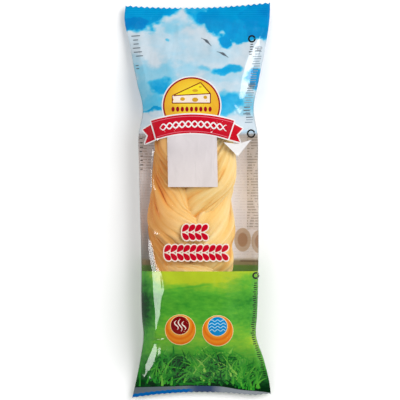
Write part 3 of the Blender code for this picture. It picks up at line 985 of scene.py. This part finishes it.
def grooveField(turn, along, length, seed, number):
    # grooves run along the strand, each a V across the turn that fades at its two ends
    picks = np.random.default_rng(seed)
    cut = np.zeros(np.shape(turn))
    for _ in range(number):
        at, start = picks.random(), picks.uniform(-0.05, 1.05) * length
        reach = picks.uniform(*cheese["grooveLength"]) / 2
        width = picks.uniform(*cheese["grooveWidth"])
        depth = picks.uniform(*cheese["grooveDepth"]) * (0.4 + 0.6 * width / cheese["grooveWidth"][1])
        drift = picks.uniform(-0.06, 0.06)
        place = (along - start) / reach
        away = np.abs((turn - at - drift * place + 0.5) % 1 - 0.5) / width
        cut += depth * np.exp(-away * 1.8) * np.clip(1 - place**2, 0, 1)
    return np.minimum(cut, 1.5 * mm)


def fibreRadius(fibreTurn, walked, length, seed, number):
    # what the section gains and loses: bundles of fibre as soft ridges, finer ones on them, and the grooves
    circle = 2 * np.pi * fibreTurn
    ringX, ringY = np.cos(circle), np.sin(circle)
    swell = softNoise(2.2 * ringX + 9 * seed, 2.2 * ringY + walked / (40 * mm), 21 + seed, 2) - 0.5
    bundle = np.abs(softNoise(3.7 * ringX + 5 * seed, 3.7 * ringY + walked / (36 * mm), 60 + seed, 2) - 0.5)
    thread = softNoise(20 * ringX + 40, 20 * ringY + walked / (22 * mm), 80 + seed, 2) - 0.5
    cut = grooveField(fibreTurn, walked, length, 100 + seed, number)
    change = 2.0 * mm * swell + 2.6 * mm * bundle + 0.22 * mm * thread - cut
    # depth drives the colour: low in the grooves for painted shade, high on the ridges for painted highlight
    depth = np.clip(0.50 - 0.5 * cut / mm + 1.3 * bundle + 0.5 * swell + 0.2 * thread, 0, 1)
    return change - 0.5 * mm, depth


def section(turn):
    # outline of a section: cosine and sine with their exponent lowered, so that it is a little square
    power = 2 / cheese["squareness"]
    return (np.sign(np.cos(turn)) * np.abs(np.cos(turn)) ** power,
            np.sign(np.sin(turn)) * np.abs(np.sin(turn)) ** power)


def strandSurface(strand):
    # the section is carried along the strand's path, square to it
    y = np.linspace(cheese["ends"][1], cheese["ends"][0], cheese["along"])
    phase = strandPhase(y, strand)
    x, dip, slope = strandPath(phase)
    path = np.stack([x, y, plait["level"] + dip], 1)
    across = np.stack([np.ones_like(y), -slope, np.zeros_like(y)], 1) / np.sqrt(1 + slope**2)[:, None]
    share = np.arange(cheese["around"]) / cheese["around"]
    turn = np.broadcast_to(share[None, :] * 2 * np.pi - np.pi / 2, (len(y), len(share)))
    fibreTurn = (share[None, :] - cheese["roll"] * np.cos(phase)[:, None] / (2 * np.pi)) % 1
    step = np.hypot(np.gradient(x), np.gradient(y))
    walked = np.cumsum(step)[:, None] * np.ones_like(turn)
    change, depth = fibreRadius(fibreTurn, walked, walked.max(), strand, cheese["grooves"])
    one = cheese["pinch"]
    pinch = 1 - one["depth"] * np.exp(-(((y - one["at"]) / one["reach"]) ** 2))
    ends = np.clip(np.minimum(y - y[0], y[-1] - y) / cheese["taper"], 0, 1)
    taper = (np.sqrt(np.clip(1 - (1 - ends) ** 2, 0.0004, 1)) * pinch)[:, None]
    wide, thick = section(turn)
    points = path[:, None] + (wide * (plait["halfWidth"] + change) * taper)[..., None] * across[:, None]
    points[..., 2] += thick * (plait["halfThickness"] + change) * taper
    return points, depth, fibreTurn, walked


wrap = {  # the turn of strand round the lower end of the plait
    "rings": 420,
    "around": 200,
    "grooves": 30,
    "middle": (-2.2 * mm, -45.2 * mm, 16.3 * mm),
    "radii": (17.5 * mm, 8.6 * mm),
    "slant": 1.8 * mm,
    "halfWidth": 8.4 * mm,
    "halfThickness": 5.0 * mm,
    "girth": 94 * mm,  # its length as the grooves count it
}


def wrapSurface():
    # the section is carried round an ellipse that stands across the plait, a little aslant
    lap = np.linspace(0, 2 * np.pi, wrap["rings"], endpoint=False)
    share = np.arange(wrap["around"]) / wrap["around"]
    turn = np.broadcast_to(share[None, :] * 2 * np.pi, (wrap["rings"], wrap["around"]))
    rx, rz = wrap["radii"]
    x, y, z = wrap["middle"]
    path = np.stack([x + rx * np.cos(lap), y - wrap["slant"] * np.cos(lap), z + rz * np.sin(lap)], 1)
    outward = np.stack([np.cos(lap) * rz, np.zeros(wrap["rings"]), np.sin(lap) * rx], 1)
    outward /= np.linalg.norm(outward, axis=1, keepdims=True)
    along = np.array([0.0, 1.0, 0.0])
    walked = (lap * 15 * mm)[:, None] * np.ones_like(turn)
    grooveTurn = share[None, :] + 0.06 * np.sin(lap)[:, None]
    cut = grooveField(grooveTurn, walked, wrap["girth"], 300, wrap["grooves"])
    circle = 2 * np.pi * share[None, :]
    lapX, lapY = 4 * np.cos(lap)[:, None], 4 * np.sin(lap)[:, None]
    bundle = softNoise(5 * np.cos(circle) + lapX, 5 * np.sin(circle) + lapY, 91, 3) - 0.5
    wide, thick = section(turn)
    change = 1.6 * mm * bundle - cut
    points = path[:, None] + ((wide * (wrap["halfWidth"] + change))[..., None] * along
                              + (thick * (wrap["halfThickness"] + change))[..., None] * outward[:, None])
    # depth drives the colour: low in the grooves for painted shade, high on the bundles for painted
    # highlight
    depth = np.clip(0.80 - 0.5 * cut / mm + 0.9 * bundle, 0, 1)
    return points, depth, np.broadcast_to(share, walked.shape), walked


def fitSides(surfaces):
    # the plait's two sides are measured in slices, and every slice is stretched to the sides it should have
    together = np.concatenate([points.reshape(-1, 3) for points, *_ in surfaces])
    sides = inMetres(cheese["sides"])
    slices = np.arange(-70 * mm, 58 * mm, 1 * mm)
    found = np.searchsorted(slices, together[:, 1])
    left, right = np.full(len(slices) + 1, 1.0), np.full(len(slices) + 1, -1.0)
    np.minimum.at(left, found, together[:, 0])
    np.maximum.at(right, found, together[:, 0])
    seen = (left < right) & (np.arange(len(left)) > 0)
    at = slices[np.flatnonzero(seen) - 1] + 0.5 * mm
    blur = blurWeights(at, 2.5 * mm)
    left, right = blur @ left[seen], blur @ right[seen]
    for points, *_ in surfaces:
        y = np.clip(points[..., 1], -60 * mm, 48 * mm)
        lowX, highX = np.interp(y, at, left), np.interp(y, at, right)
        newLow, newHigh = through(sides, 1, y), through(sides, 2, y)
        points[..., 0] = newLow + (points[..., 0] - lowX) * (newHigh - newLow) / (highX - lowX)


def pressUnderFilm(points):
    # the film holds the cheese down: its top is rounded off where it would touch
    limit = filmFront(points[..., 0], points[..., 1]) - cheese["filmGap"]
    points[..., 2] = lesser(points[..., 2], limit, 0.5 * mm)
    floor = filmBack(points[..., 0], points[..., 1]) + cheese["filmGap"]
    points[..., 2] = np.maximum(points[..., 2], floor)


def strandPiece(name, points, faces, depth, fibre, material):
    # depth is kept for the painted shade of the grooves and the painted highlight of the crests; the map's
    # first axis runs along the fibres
    piece = newPiece(name, points, faces, material, sharp=3.1)
    setAttribute(piece, "depth", depth)
    corner = np.empty(len(piece.data.loops), np.int32)
    piece.data.loops.foreach_get("vertex_index", corner)
    layer = piece.data.uv_layers.new(name="strand")
    layer.data.foreach_set("uv", fibre[corner].astype(np.float32).ravel())


def closedTube(name, points, depth, fibreTurn, walked, material):
    # a strand with a pole at each end
    fibre = np.stack([walked / (100 * mm), fibreTurn], 2).reshape(-1, 2)
    fibre = np.concatenate([fibre, fibre[:1], fibre[-1:]])
    depth = np.concatenate([depth.ravel(), [0.3, 0.3]])
    strandPiece(name, withPoles(points), tubeFaces(*points.shape[:2]), depth, fibre, material)


def closedRing(name, points, depth, share, walked, material):
    # a strand closed on itself; its map runs forth and back along it, so that it has no seam
    rows, count = points.shape[:2]
    a = np.arange(rows * count).reshape(rows, count)
    b, c = np.roll(a, -1, 1), np.roll(a, -1, 0)
    faces = np.stack([a, c, np.roll(b, -1, 0), b], 2).reshape(-1, 4).tolist()
    fibre = np.stack([np.abs(walked / (100 * mm) - 0.47), share], 2).reshape(-1, 2)
    strandPiece(name, points.reshape(-1, 3), faces, depth, fibre, material)


def buildCheese():
    # three strands, stretched to the plait's own sides, and the turn round them, all held down by the film
    material = cheeseMaterial()
    strands = [strandSurface(strand) for strand in range(plait["strands"])]
    ring = wrapSurface()
    fitSides(strands)
    for points, *_ in [*strands, ring]:
        pressUnderFilm(points)
    for name, surface in zip("ABC", strands):
        closedTube("strand" + name, *surface, material)
    closedRing("wrap", *ring, material)


buildCheese()
print("cheese made")


# Printed shapes on the film

def inkMaterial(name, colour, gloss=0.8):
    # one flat printed colour under the film's gloss
    material, tree, shader, vector = startMaterial(name)
    filmFinish(tree, shader, vector, linear(*colour))
    shader.inputs["Coat Weight"].default_value = gloss
    return material


inks = {
    "white": inkMaterial("inkWhite", (244, 242, 242)),
    "cream": inkMaterial("inkCream", (252, 236, 220)),
    "red": inkMaterial("inkRed", (204, 6, 36)),
    "tailRed": inkMaterial("inkTailRed", (204, 0, 28), gloss=0.25),
    "deepRed": inkMaterial("inkDeepRed", (158, 8, 30)),
    "maroon": inkMaterial("inkMaroon", (130, 8, 14)),
    "pink": inkMaterial("inkPink", (232, 120, 138)),
    "water": inkMaterial("inkWater", (0, 138, 204)),
    "sunlit": inkMaterial("inkSunlit", (250, 224, 40)),
    "rind": inkMaterial("inkRind", (214, 160, 40)),
    "grey": inkMaterial("inkGrey", (96, 106, 116)),
    "faint": inkMaterial("inkFaint", (140, 158, 172)),
    "sand": inkMaterial("inkSand", (255, 226, 168)),
    "paleBlue": inkMaterial("inkPaleBlue", (176, 226, 248)),
    "dark": inkMaterial("inkDark", (26, 28, 26)),
}

emblem = {
    "centre": (-3.7, 55.5),
    "rim": 17.6,
    "line": 16.9,
    "face": 16.0,
    "wedgeTop": ((-15.0, 61.4), (7.4, 62.6), (1.6, 69.2)),
    "wedgeSide": ((-15.0, 61.4), (-15.0, 57.0), (7.4, 57.0), (7.4, 62.6)),
    "holes": ((-9.0, 59.4, 1.4, 1.1), (-1.6, 59.0, 1.8, 1.3), (4.4, 60.4, 1.1, 1.0), (-1.6, 64.4, 1.7, 0.8),
              (1.4, 66.6, 0.9, 0.5)),
    "seeds": {"from": -14.6, "to": 7.2, "count": 9, "y": 53.4, "halfWidth": 0.95, "halfHeight": 1.5},
}


def emblemMaterial():
    # golden face, brighter towards a point a little above its middle
    material, tree, shader, vector = startMaterial("inkGold")
    x, y = emblem["centre"]
    reach = distanceFrom(tree, vector, x * mm, (y + 4) * mm)
    colour = colourRamp(tree, between(tree, reach, 0.0, 0.017), (
        (0.0, (250, 222, 66)), (0.6, (246, 200, 50)), (1.0, (238, 176, 44))))
    filmFinish(tree, shader, vector, colour)
    return material


def buildEmblem():
    # three discs, and on them a wedge of cheese in two flat tones, outlined, with holes and a row of seeds
    middle = emblem["centre"]
    discs = (("Rim", "rim", 0.10, inks["white"]), ("Line", "line", 0.13, inks["deepRed"]),
             ("Face", "face", 0.16, emblemMaterial()))
    for name, key, level, ink in discs:
        printDisc("emblem" + name, middle, emblem[key], level, ink, 24, 120)
    top, side = np.array(emblem["wedgeTop"]), np.array(emblem["wedgeSide"])
    printPatches("wedgeTop", alongEdges(top), top.mean(0), 0.19, inks["sunlit"], 12)
    printPatches("wedgeSide", alongEdges(side), side.mean(0), 0.19, inks["cream"], 12)
    pairs = [*zip(top, np.roll(top, -1, 0)), *zip(side[:-1], side[1:])]
    printStrokes("wedgeLines", [np.linspace(a, b, 40) for a, b in pairs], 0.28, 0.22, inks["maroon"])
    holes = [ellipse((x, y), rx, ry, 32) for x, y, rx, ry in emblem["holes"]]
    printPatches("wedgeHoles", holes, [(x, y) for x, y, *_ in emblem["holes"]], 0.22, inks["rind"], 4)
    one = emblem["seeds"]
    centres = [(x, one["y"]) for x in np.linspace(one["from"], one["to"], one["count"])]
    seeds = [ellipse(centre, one["halfWidth"], one["halfHeight"], 28) for centre in centres]
    printPatches("emblemSeeds", seeds, centres, 0.19, inks["deepRed"], 4)


ribbon = {
    "topMiddle": 50.3, "topCorner": 46.6, "topEnds": (-27.6, 21.4),
    "bottomMiddle": 39.3, "bottomCorner": 35.8, "bottomEnds": (-24.5, 17.8),
    "leftTail": ((-27.9, 44.2), (-32.5, 41.4), (-29.4, 37.8), (-31.3, 33.0), (-24.4, 35.9), (-23.5, 41.5)),
    "rightTail": ((21.4, 44.6), (26.3, 42.0), (22.9, 38.3), (24.8, 34.0), (17.4, 35.9), (16.5, 41.5)),
    "centre": (-3.3, 43.2), "leftTailCentre": (-27.6, 38.6), "rightTailCentre": (20.8, 39.0),
    "outline": 0.75,
    "twist": {
        "from": -22.5, "to": 17.0, "wave": 7.4, "swing": 1.7, "halfWidth": 0.42, "level": 44.6, "sag": 3.6,
    },
    "hairline": {"inset": 1.1, "halfWidth": 0.16},
}


def ribbonEdge(ends, middle, corner, count):
    # a shallow arc: its height falls with the square of the way out from its middle
    x = np.linspace(*ends, count)
    out = (x - (ends[0] + ends[1]) / 2) / ((ends[1] - ends[0]) / 2)
    return np.stack([x, middle - (middle - corner) * out**2], 1)


def buildRibbon():
    # a bowed band between two tails; two waves on it cross like a twisted cord, with a hairline at each edge
    top = ribbonEdge(ribbon["topEnds"], ribbon["topMiddle"], ribbon["topCorner"], 70)
    bottom = ribbonEdge(ribbon["bottomEnds"], ribbon["bottomMiddle"], ribbon["bottomCorner"], 70)
    right = np.linspace(bottom[-1], top[-1], 16)[1:-1]
    left = np.linspace(top[0], bottom[0], 16)[1:-1]
    band = np.concatenate([bottom, right, top[::-1], left])
    tails = (("Left", ribbon["leftTail"], ribbon["leftTailCentre"]),
             ("Right", ribbon["rightTail"][::-1], ribbon["rightTailCentre"]))
    for side, shape, centre in tails:
        tail = alongEdges(shape)
        edge = grown(tail, ribbon["outline"])
        printPatches("ribbonTailEdge" + side, edge, centre, 0.20, inks["white"], 10)
        printPatches("ribbonTail" + side, tail, centre, 0.23, inks["tailRed"], 10)
    printPatches("ribbonEdge", grown(band, ribbon["outline"]), ribbon["centre"], 0.27, inks["white"], 30)
    printPatches("ribbonBand", band, ribbon["centre"], 0.31, inks["red"], 30)
    one = ribbon["twist"]
    x = np.linspace(one["from"], one["to"], 220)
    level = one["level"] - one["sag"] * ((x + 3.2) / 24.5) ** 2
    swing = one["swing"] * np.sin(2 * np.pi * x / one["wave"])
    waves = [np.stack([x, level + swing], 1), np.stack([x, level - swing], 1)]
    thinned = np.sqrt(np.clip(1 - ((x + 2.75) / 19.8) ** 8, 0.02, 1))
    printStrokes("ribbonTwist", waves, one["halfWidth"] * thinned, 0.34, inks["white"])
    inset = ribbon["hairline"]["inset"]
    upper = np.stack([top[:, 0] * 0.985, top[:, 1] - inset], 1)
    lower = np.stack([bottom[:, 0] * 0.98, bottom[:, 1] + inset], 1)
    printStrokes("ribbonHairlines", [upper, lower], ribbon["hairline"]["halfWidth"], 0.34, inks["pink"])


label = {
    "left": -18.0, "right": 11.7, "top": 38.6, "bottom": 7.6, "slant": 0.5,
    "flag": ((15.1, 33.9), (23.5, 25.7), (31.4, 35.4), (23.2, 32.9)), "flagCentre": (23.4, 30.6),
}


def labelMaterial():
    # a plain pale sticker, a little warm, smoother than paper
    material, tree, shader, vector = startMaterial("labelStock")
    y = splitAxes(tree, vector)[1]
    colour = mixColour(tree, between(tree, y, 0.008, 0.036), linear(234, 224, 222), linear(224, 216, 218))
    filmFinish(tree, shader, vector, colour, grain=0.12, strength=0.2)
    shader.inputs["Coat Weight"].default_value = 0.25
    return material


def buildLabel():
    # the blank label, its sides a little aslant, and a small white flag beside it
    left, right, slant = label["left"], label["right"], label["slant"]
    shape = ((left, label["top"]), (left + slant, label["bottom"]), (right, label["bottom"]),
             (right - slant, label["top"]))
    printPatches("label", alongEdges(shape), np.mean(shape, 0), 0.17, labelMaterial(), 34)
    printPatches("flag", alongEdges(label["flag"]), label["flagCentre"], 0.12, inks["white"], 10)


leafRows = {
    "length": 5.3, "width": 3.0, "pitch": 3.75, "lean": 0.85,
    "rows": ((-1.8, -19.0, 4), (-1.1, -31.0, 10)),  # middle of the row, and how many pairs of leaves
    "offset": 2.35,  # from the row's middle line to the middle of a leaf
    "outline": 0.7,
}


def buildLeafRows():
    # a plait drawn flat: pairs of leaves lean out from the row's middle line
    # a leaf is an ellipse, fuller towards its outer end, with its sides drawn in near both ends
    turn = np.arange(40) * 2 * np.pi / 40
    swell = (1 + 0.35 * np.cos(turn)) * np.abs(np.sin(turn)) ** 0.25
    halfLength, halfWidth = leafRows["length"] / 2, leafRows["width"] / 2
    leaf = np.stack([halfLength * np.cos(turn), halfWidth * np.sin(turn) * swell], 1)
    outlines, centres = [], []
    for cx, cy, pairs in leafRows["rows"]:
        for k in range(pairs):
            for side in (1, -1):
                angle = side * leafRows["lean"]
                spin = np.array([[np.cos(angle), np.sin(angle)], [-np.sin(angle), np.cos(angle)]])
                across = cx + (k - (pairs - 1) / 2) * leafRows["pitch"]
                centre = np.array([across, cy + side * leafRows["offset"]])
                outlines.append(leaf @ spin + centre)
                centres.append(centre)
    outlines = np.array(outlines)
    printPatches("leafEdges", grown(outlines, leafRows["outline"]), centres, 0.12, inks["cream"], 5)
    printPatches("leaves", outlines, centres, 0.17, inks["red"], 5)


badges = {
    "smoke": {"centre": (-10.3, -76.3), "radius": 9.1, "inner": (-10.5, -73.7), "innerRadius": 5.4,
              "ink": "maroon"},
    "water": {"centre": (11.7, -76.9), "radius": 9.2, "inner": (11.6, -74.3), "innerRadius": 5.6,
              "ink": "water"},
}

badgeMarks = {
    "wisps": ((-2.1, 1.0, 5.6), (0.1, 0.0, 7.4), (2.3, 0.9, 5.2)),  # across, lift, height
    "wispHalfWidth": 0.34,
    "waves": (3.4, 1.5, -0.4, -2.3),
    "waveLength": 3.4,
    "waveHeight": 0.5,
}


def badgeMaterial(name, centre):
    # orange with a paler crescent under the inner disc
    material, tree, shader, vector = startMaterial(name)
    reach = distanceFrom(tree, vector, centre[0] * mm, centre[1] * mm)
    colour = colourRamp(tree, between(tree, reach, 0.005, 0.0125), (
        (0.0, (240, 156, 48)), (0.30, (226, 108, 0)), (0.55, (240, 142, 28)), (1.0, (224, 102, 0))))
    filmFinish(tree, shader, vector, colour)
    return material


def buildBadges():
    # each a stack of four discs; on one three curling wisps that thin at both ends, on the other four waves
    for name, one in badges.items():
        orange = badgeMaterial(name + "Orange", one["inner"])
        printDisc(name + "BadgeRim", one["centre"], one["radius"], 0.10, inks["sand"], 12)
        printDisc(name + "BadgeFace", one["centre"], one["radius"] - 0.3, 0.13, orange, 12)
        printDisc(name + "BadgeRing", one["inner"], one["innerRadius"] + 0.3, 0.16, inks["sand"], 8)
        printDisc(name + "BadgeDisc", one["inner"], one["innerRadius"], 0.19, inks[one["ink"]], 8)
    t = np.linspace(0, 1, 40)
    x, y = badges["smoke"]["inner"]
    curl = 1.1 * np.sin(2 * np.pi * t * 0.95 + 0.4)
    wisps = [np.stack([x + across + curl, y - 3.6 + lift + t * tall], 1)
             for across, lift, tall in badgeMarks["wisps"]]
    thinned = np.sin(np.pi * np.clip(t, 0.04, 0.96)) ** 0.6
    printStrokes("smokeWisps", wisps, badgeMarks["wispHalfWidth"] * thinned, 0.22, inks["cream"])
    x, y = badges["water"]["inner"]
    waves = []
    for lift in badgeMarks["waves"]:
        span = np.sqrt(badges["water"]["innerRadius"] ** 2 - lift**2) - 0.5
        across = np.linspace(-span, span, 60)
        height = badgeMarks["waveHeight"] * np.cos(2 * np.pi * across / badgeMarks["waveLength"])
        waves.append(np.stack([x + across, y + lift + height], 1))
    printStrokes("waterWaves", waves, 0.20, 0.22, inks["paleBlue"])


birds = {  # one wing tip, the other, how far the wings bow up
    "gulls": (((1.9, 95.9), (8.0, 91.0), 0.9), ((11.2, 87.7), (18.0, 84.2), 0.7)),
    "tip": 0.14,
    "body": 0.62,
}


def buildBirds():
    # two plain gulls: both wings are one bowed line that thins towards its ends
    t = np.linspace(-1, 1, 40)
    gulls = []
    for (x0, y0), (x1, y1), bow in birds["gulls"]:
        along = np.stack([x0 + (x1 - x0) * (t + 1) / 2, y0 + (y1 - y0) * (t + 1) / 2], 1)
        gulls.append(along + np.stack([np.zeros_like(t), bow * (1 - np.abs(t)) ** 0.7], 1))
    widths = birds["tip"] + birds["body"] * np.exp(-(((t - 0.1) / 0.42) ** 2))
    printStrokes("gulls", gulls, widths, 0.10, inks["grey"])


printBars = {  # side, how far in from the pack's edge they start and end, along, rows, ink, level
    "skyLeft": ("left", (1.2, 7.2), (97.0, 85.0), 6, "grey", 0.10),
    "skyLeftLow": ("left", (1.0, 3.6), (79.4, 77.6), 2, "grey", 0.10),
    "skyRight": ("right", (1.0, 6.6), (91.0, 46.0), 32, "faint", 0.10),
    "bandLeft": ("left", (0.5, 2.9), (36.2, 18.0), 8, "dark", 0.10),
    "meadowRight": ("right", (0.6, 3.2), (-49.0, -104.0), 44, "dark", 0.10),
    "skyRightMark": ("right", (7.2, 9.4), (92.6, 86.6), 5, "dark", 0.13),
    "skyRightHigh": ("right", (1.6, 6.2), (90.2, 88.8), 2, "grey", 0.13),
    "skyRightMiddle": ("right", (0.8, 6.2), (69.2, 66.2), 4, "grey", 0.13),
    "skyRightLow": ("right", (1.0, 6.6), (55.0, 49.0), 4, "grey", 0.13),
}

ringMarks = ((31.4, 39.1, 2.1), (34.2, -44.6, 1.6), (32.0, 95.5, 1.8))  # across, along, radius


def buildPrintBars():
    # plain thin bars of uneven length in rows that follow the pack's edge, and three open rings
    for name, (side, (outer, inner), along, rows, ink, level) in printBars.items():
        column, turn = (2, -1) if side == "right" else (1, 1)
        y = np.linspace(*along, rows)[:, None]
        edge = through(film["outline"], column, y)
        outer = outer + draws.uniform(0, 0.25 * (inner - outer), (rows, 1))
        inner = inner - draws.uniform(0, 0.45 * (inner - outer), (rows, 1))
        x = edge + turn * (outer + (inner - outer) * np.linspace(0, 1, 14))
        bars = np.stack([x, y + 0.05 * (x - edge)], 2)
        printStrokes("bars" + name[0].upper() + name[1:], bars, 0.26, level, inks[ink])
    turn = np.linspace(0.3, 2 * np.pi + 0.1, 40)
    rings = [np.stack([x + r * np.cos(turn), y + r * np.sin(turn)], 1) for x, y, r in ringMarks]
    printStrokes("ringMarks", rings, 0.48, 0.10, inks["dark"])


grass = {  # in millimetres
    "layers": (  # name, blades, root above the foot, lengths, half widths, lighter by and spread, level
        ("grassFar", 240, (5.0, 20.0), (4.0, 10.0), (0.30, 0.70), (0.10, 0.14), 0.06),
        ("grassMiddle", 270, (0.3, 13.0), (6.0, 16.0), (0.34, 0.85), (0.17, 0.18), 0.10),
        ("grassNear", 170, (0.2, 9.0), (8.0, 21.0), (0.30, 0.80), (0.36, 0.22), 0.14),
    ),
    "points": 12,
    "lean": 0.5,
    "bow": 5.0,
    "clump": 1.6,  # how strongly blades gather into clumps
    "reach": 38,  # half the width over which blades stand
    "lowest": -114,
}


def grassMaterial():
    # every blade has its own tone, from deep green to sunlit
    material, tree, shader, vector = startMaterial("grassPrint")
    colour = colourRamp(tree, attribute(tree, "tint"), (
        (0.0, (0, 56, 18)), (0.22, (6, 102, 30)), (0.45, (44, 152, 40)), (0.7, (88, 182, 52)),
        (1.0, (150, 208, 84))))
    filmFinish(tree, shader, vector, colour, grain=0.4)
    return material


def buildGrass():
    # each blade grows up from its root, leans, and bows by the square of its height; it thins to a point
    material = grassMaterial()
    t = np.linspace(0, 1, grass["points"])[None, :]
    for name, count, roots, lengths, halfWidths, (lighter, spread), level in grass["layers"]:
        share = draws.uniform(-0.98, 0.98, (count * 2, 1))
        height = draws.uniform(*roots, (count * 2, 1))
        rootX = share * grass["reach"]
        clump = softNoise(rootX[:, 0] / 7, height[:, 0] / 5, 33, 2) - 0.5
        kept = np.argsort(-clump * grass["clump"] - draws.random(count * 2))[:count]
        rootX, clump = rootX[kept], clump[kept]
        rootY = through(meadow["foot"], 1, rootX) + height[kept]
        swept = softNoise(rootX / 13, rootY / 13, 44, 2) - 0.5
        tall = draws.uniform(*lengths, (count, 1)) * draws.uniform(0.5, 1.0, (count, 1))
        lean = draws.normal(0, grass["lean"], (count, 1)) + 1.4 * swept
        bow = draws.normal(0, grass["bow"], (count, 1)) + 8 * swept
        x = rootX + tall * np.sin(lean) * t + bow * t**2
        y = rootY + tall * np.cos(lean) * t - 0.3 * np.abs(bow) * t**2
        widths = draws.uniform(*halfWidths, (count, 1)) * (1 - 0.9 * t**1.6)
        inside = (np.abs(shareAcross(x * mm, y * mm)).max(1) < 0.985) & (y.min(1) > grass["lowest"])
        onFacet = (facetShare(x * mm, y * mm) > 0.5).sum(1)
        inside = inside & (onFacet < 3)  # few blades lie along a flat flank
        tone = meadowTone(x * mm, y * mm)[:, grass["points"] // 2]
        tint = np.clip(0.8 * tone + draws.normal(lighter, spread, count) + 0.5 * clump, 0, 1)
        printStrokes(name, np.stack([x, y], 2)[inside], widths[inside], level, material, tint[inside])


buildEmblem()
buildRibbon()
buildLabel()
buildLeafRows()
buildBadges()
buildBirds()
buildPrintBars()
buildGrass()
print("print made")


# The lap seam down the back

seam = {
    "halfWidth": 5.5 * mm, "middle": 3 * mm, "from": -108 * mm, "to": 107 * mm,
    "gap": 0.06 * mm, "thickness": 0.22 * mm, "lowest": 0.02 * mm,
    "shift": 0.021,  # the strip's print runs on from another part of the back's
}


def buildSeam():
    # a flat strip under the back film: across it an ellipse-edged plate, along it the back's own level
    y = np.linspace(seam["from"], seam["to"], 240)[:, None]
    turn = np.arange(28)[None, :] * 2 * np.pi / 28
    x = seam["middle"] + seam["halfWidth"] * np.sign(np.cos(turn)) * np.abs(np.cos(turn)) ** 0.5 + 0 * y
    x = x + 0.25 * mm * np.sin(y / (9 * mm))
    y = y + 0 * x
    under = filmBack(x, y) - seam["gap"] - seam["thickness"] / 2
    z = np.maximum(under + seam["thickness"] / 2 * np.sin(turn), seam["lowest"])
    points = np.stack([x, y, z], 2)
    material, tree, shader, vector = startMaterial("seamFilm")
    shift = (seam["shift"], 0, 0)
    moved = addNode(tree, "ShaderNodeVectorMath", {0: vector, 1: shift}, operation="ADD").outputs[0]
    filmFinish(tree, shader, vector, backPrint(tree, moved, splitAxes(tree, vector)[1]))
    newPiece("lapSeam", withPoles(points), tubeFaces(*points.shape[:2]), material)


buildSeam()
print("seam made")


# Stage, light and camera

stage = {
    "floorSize": 3.0,
    "cameraLens": 400.0,
    "sensor": 36.0,
    "frameWidth": 237.36 * mm,
    "aim": (1.4 * mm, 0.0, 5 * mm),
    "dimmed": 0.8,  # share of the floor and the room that the film's gloss doesn't show
}


def floorMaterial():
    # nearly white to the camera, dark to whatever mirrors it
    material, tree, shader, vector = startMaterial("paleFloor")
    pale = colourRamp(tree, noise(tree, vector, 6, 2), ((0.3, (250, 250, 250)), (0.7, (253, 253, 253))))
    mirrored = addNode(tree, "ShaderNodeLightPath").outputs["Is Glossy Ray"]
    share = maths(tree, "MULTIPLY", mirrored, stage["dimmed"])
    seen = mixColour(tree, share, pale, linear(60, 60, 60))
    setInputs(tree, shader, {"Base Color": seen, "Roughness": 0.9, "Specular IOR Level": 0.1})
    return material


def buildFloor():
    # a square grid of 8 by 8 faces
    half = stage["floorSize"] / 2
    line = np.linspace(-half, half, 9)
    x, y = np.meshgrid(line, line)
    points = np.stack([x, y, np.zeros_like(x)], 2).reshape(-1, 3)
    i, j = np.meshgrid(np.arange(8), np.arange(8))
    a = (j * 9 + i).ravel()
    faces = np.stack([a, a + 1, a + 10, a + 9], 1).tolist()
    mesh = bpy.data.meshes.new("floor")
    mesh.from_pydata(points.tolist(), [], faces)
    mesh.materials.append(floorMaterial())
    floor = newObject("floor", mesh)


def areaLight(name, place, target, size, power):
    # a rectangle that faces its target
    data = bpy.data.lights.new(name, "AREA")
    data.shape = "RECTANGLE"
    data.size, data.size_y = size
    data.energy = power
    lamp = newObject(name, data)
    lamp.location = place
    aim = np.array(target) - np.array(place)
    lamp.rotation_euler = Vector(aim).to_track_quat("-Z", "Y").to_euler()
    return lamp


lights = {  # place, size and power of each soft light; the first two are too broad to show in the gloss
    "keyLight": ((0.85, 0.35, 1.10), (1.2, 1.2), 17.5),
    "fillLight": ((-0.65, 0.55, 1.20), (1.0, 1.0), 4.4),
    "stripLeft": ((-0.685, -0.09, 0.472), (0.16, 0.16), 0.80),
    "stripCorner": ((-0.350, -0.82, 0.130), (0.11, 0.12), 0.42),
    "stripRight": ((0.655, 0.41, 0.398), (0.13, 0.13), 0.42),
}


def buildLight():
    # three small lights draw the streaks on the film; the room is bright at its sides and dark overhead
    for name, (place, size, power) in lights.items():
        lamp = areaLight(name, place, (0, 0, 0.02), size, power)
        lamp.visible_glossy = name.startswith("strip")
    world = bpy.data.worlds.new("softRoom")
    world.use_nodes = True
    tree = world.node_tree
    height = splitAxes(tree, addNode(tree, "ShaderNodeTexCoord").outputs["Generated"], 2)
    mirrored = addNode(tree, "ShaderNodeLightPath").outputs["Is Glossy Ray"]
    dim = maths(tree, "SUBTRACT", 1.0, maths(tree, "MULTIPLY", mirrored, stage["dimmed"]))
    glow = maths(tree, "MULTIPLY", between(tree, height, 0.80, 0.93, 0.60, 0.05), dim)
    setInputs(tree, tree.nodes["Background"], {0: (1, 1, 1, 1), 1: glow})
    bpy.context.scene.world = world


def buildCamera():
    # straight above, far off with a long lens, so that the view is nearly flat
    data = bpy.data.cameras.new("camera")
    data.lens, data.sensor_width = stage["cameraLens"], stage["sensor"]
    camera = newObject("camera", data)
    distance = stage["frameWidth"] * stage["cameraLens"] / stage["sensor"]
    x, y, z = stage["aim"]
    camera.location = (x, y, z + distance)
    bpy.context.scene.camera = camera
    bpy.context.scene.view_settings.view_transform = "Standard"


buildFloor()
buildLight()
buildCamera()
print("stage made")
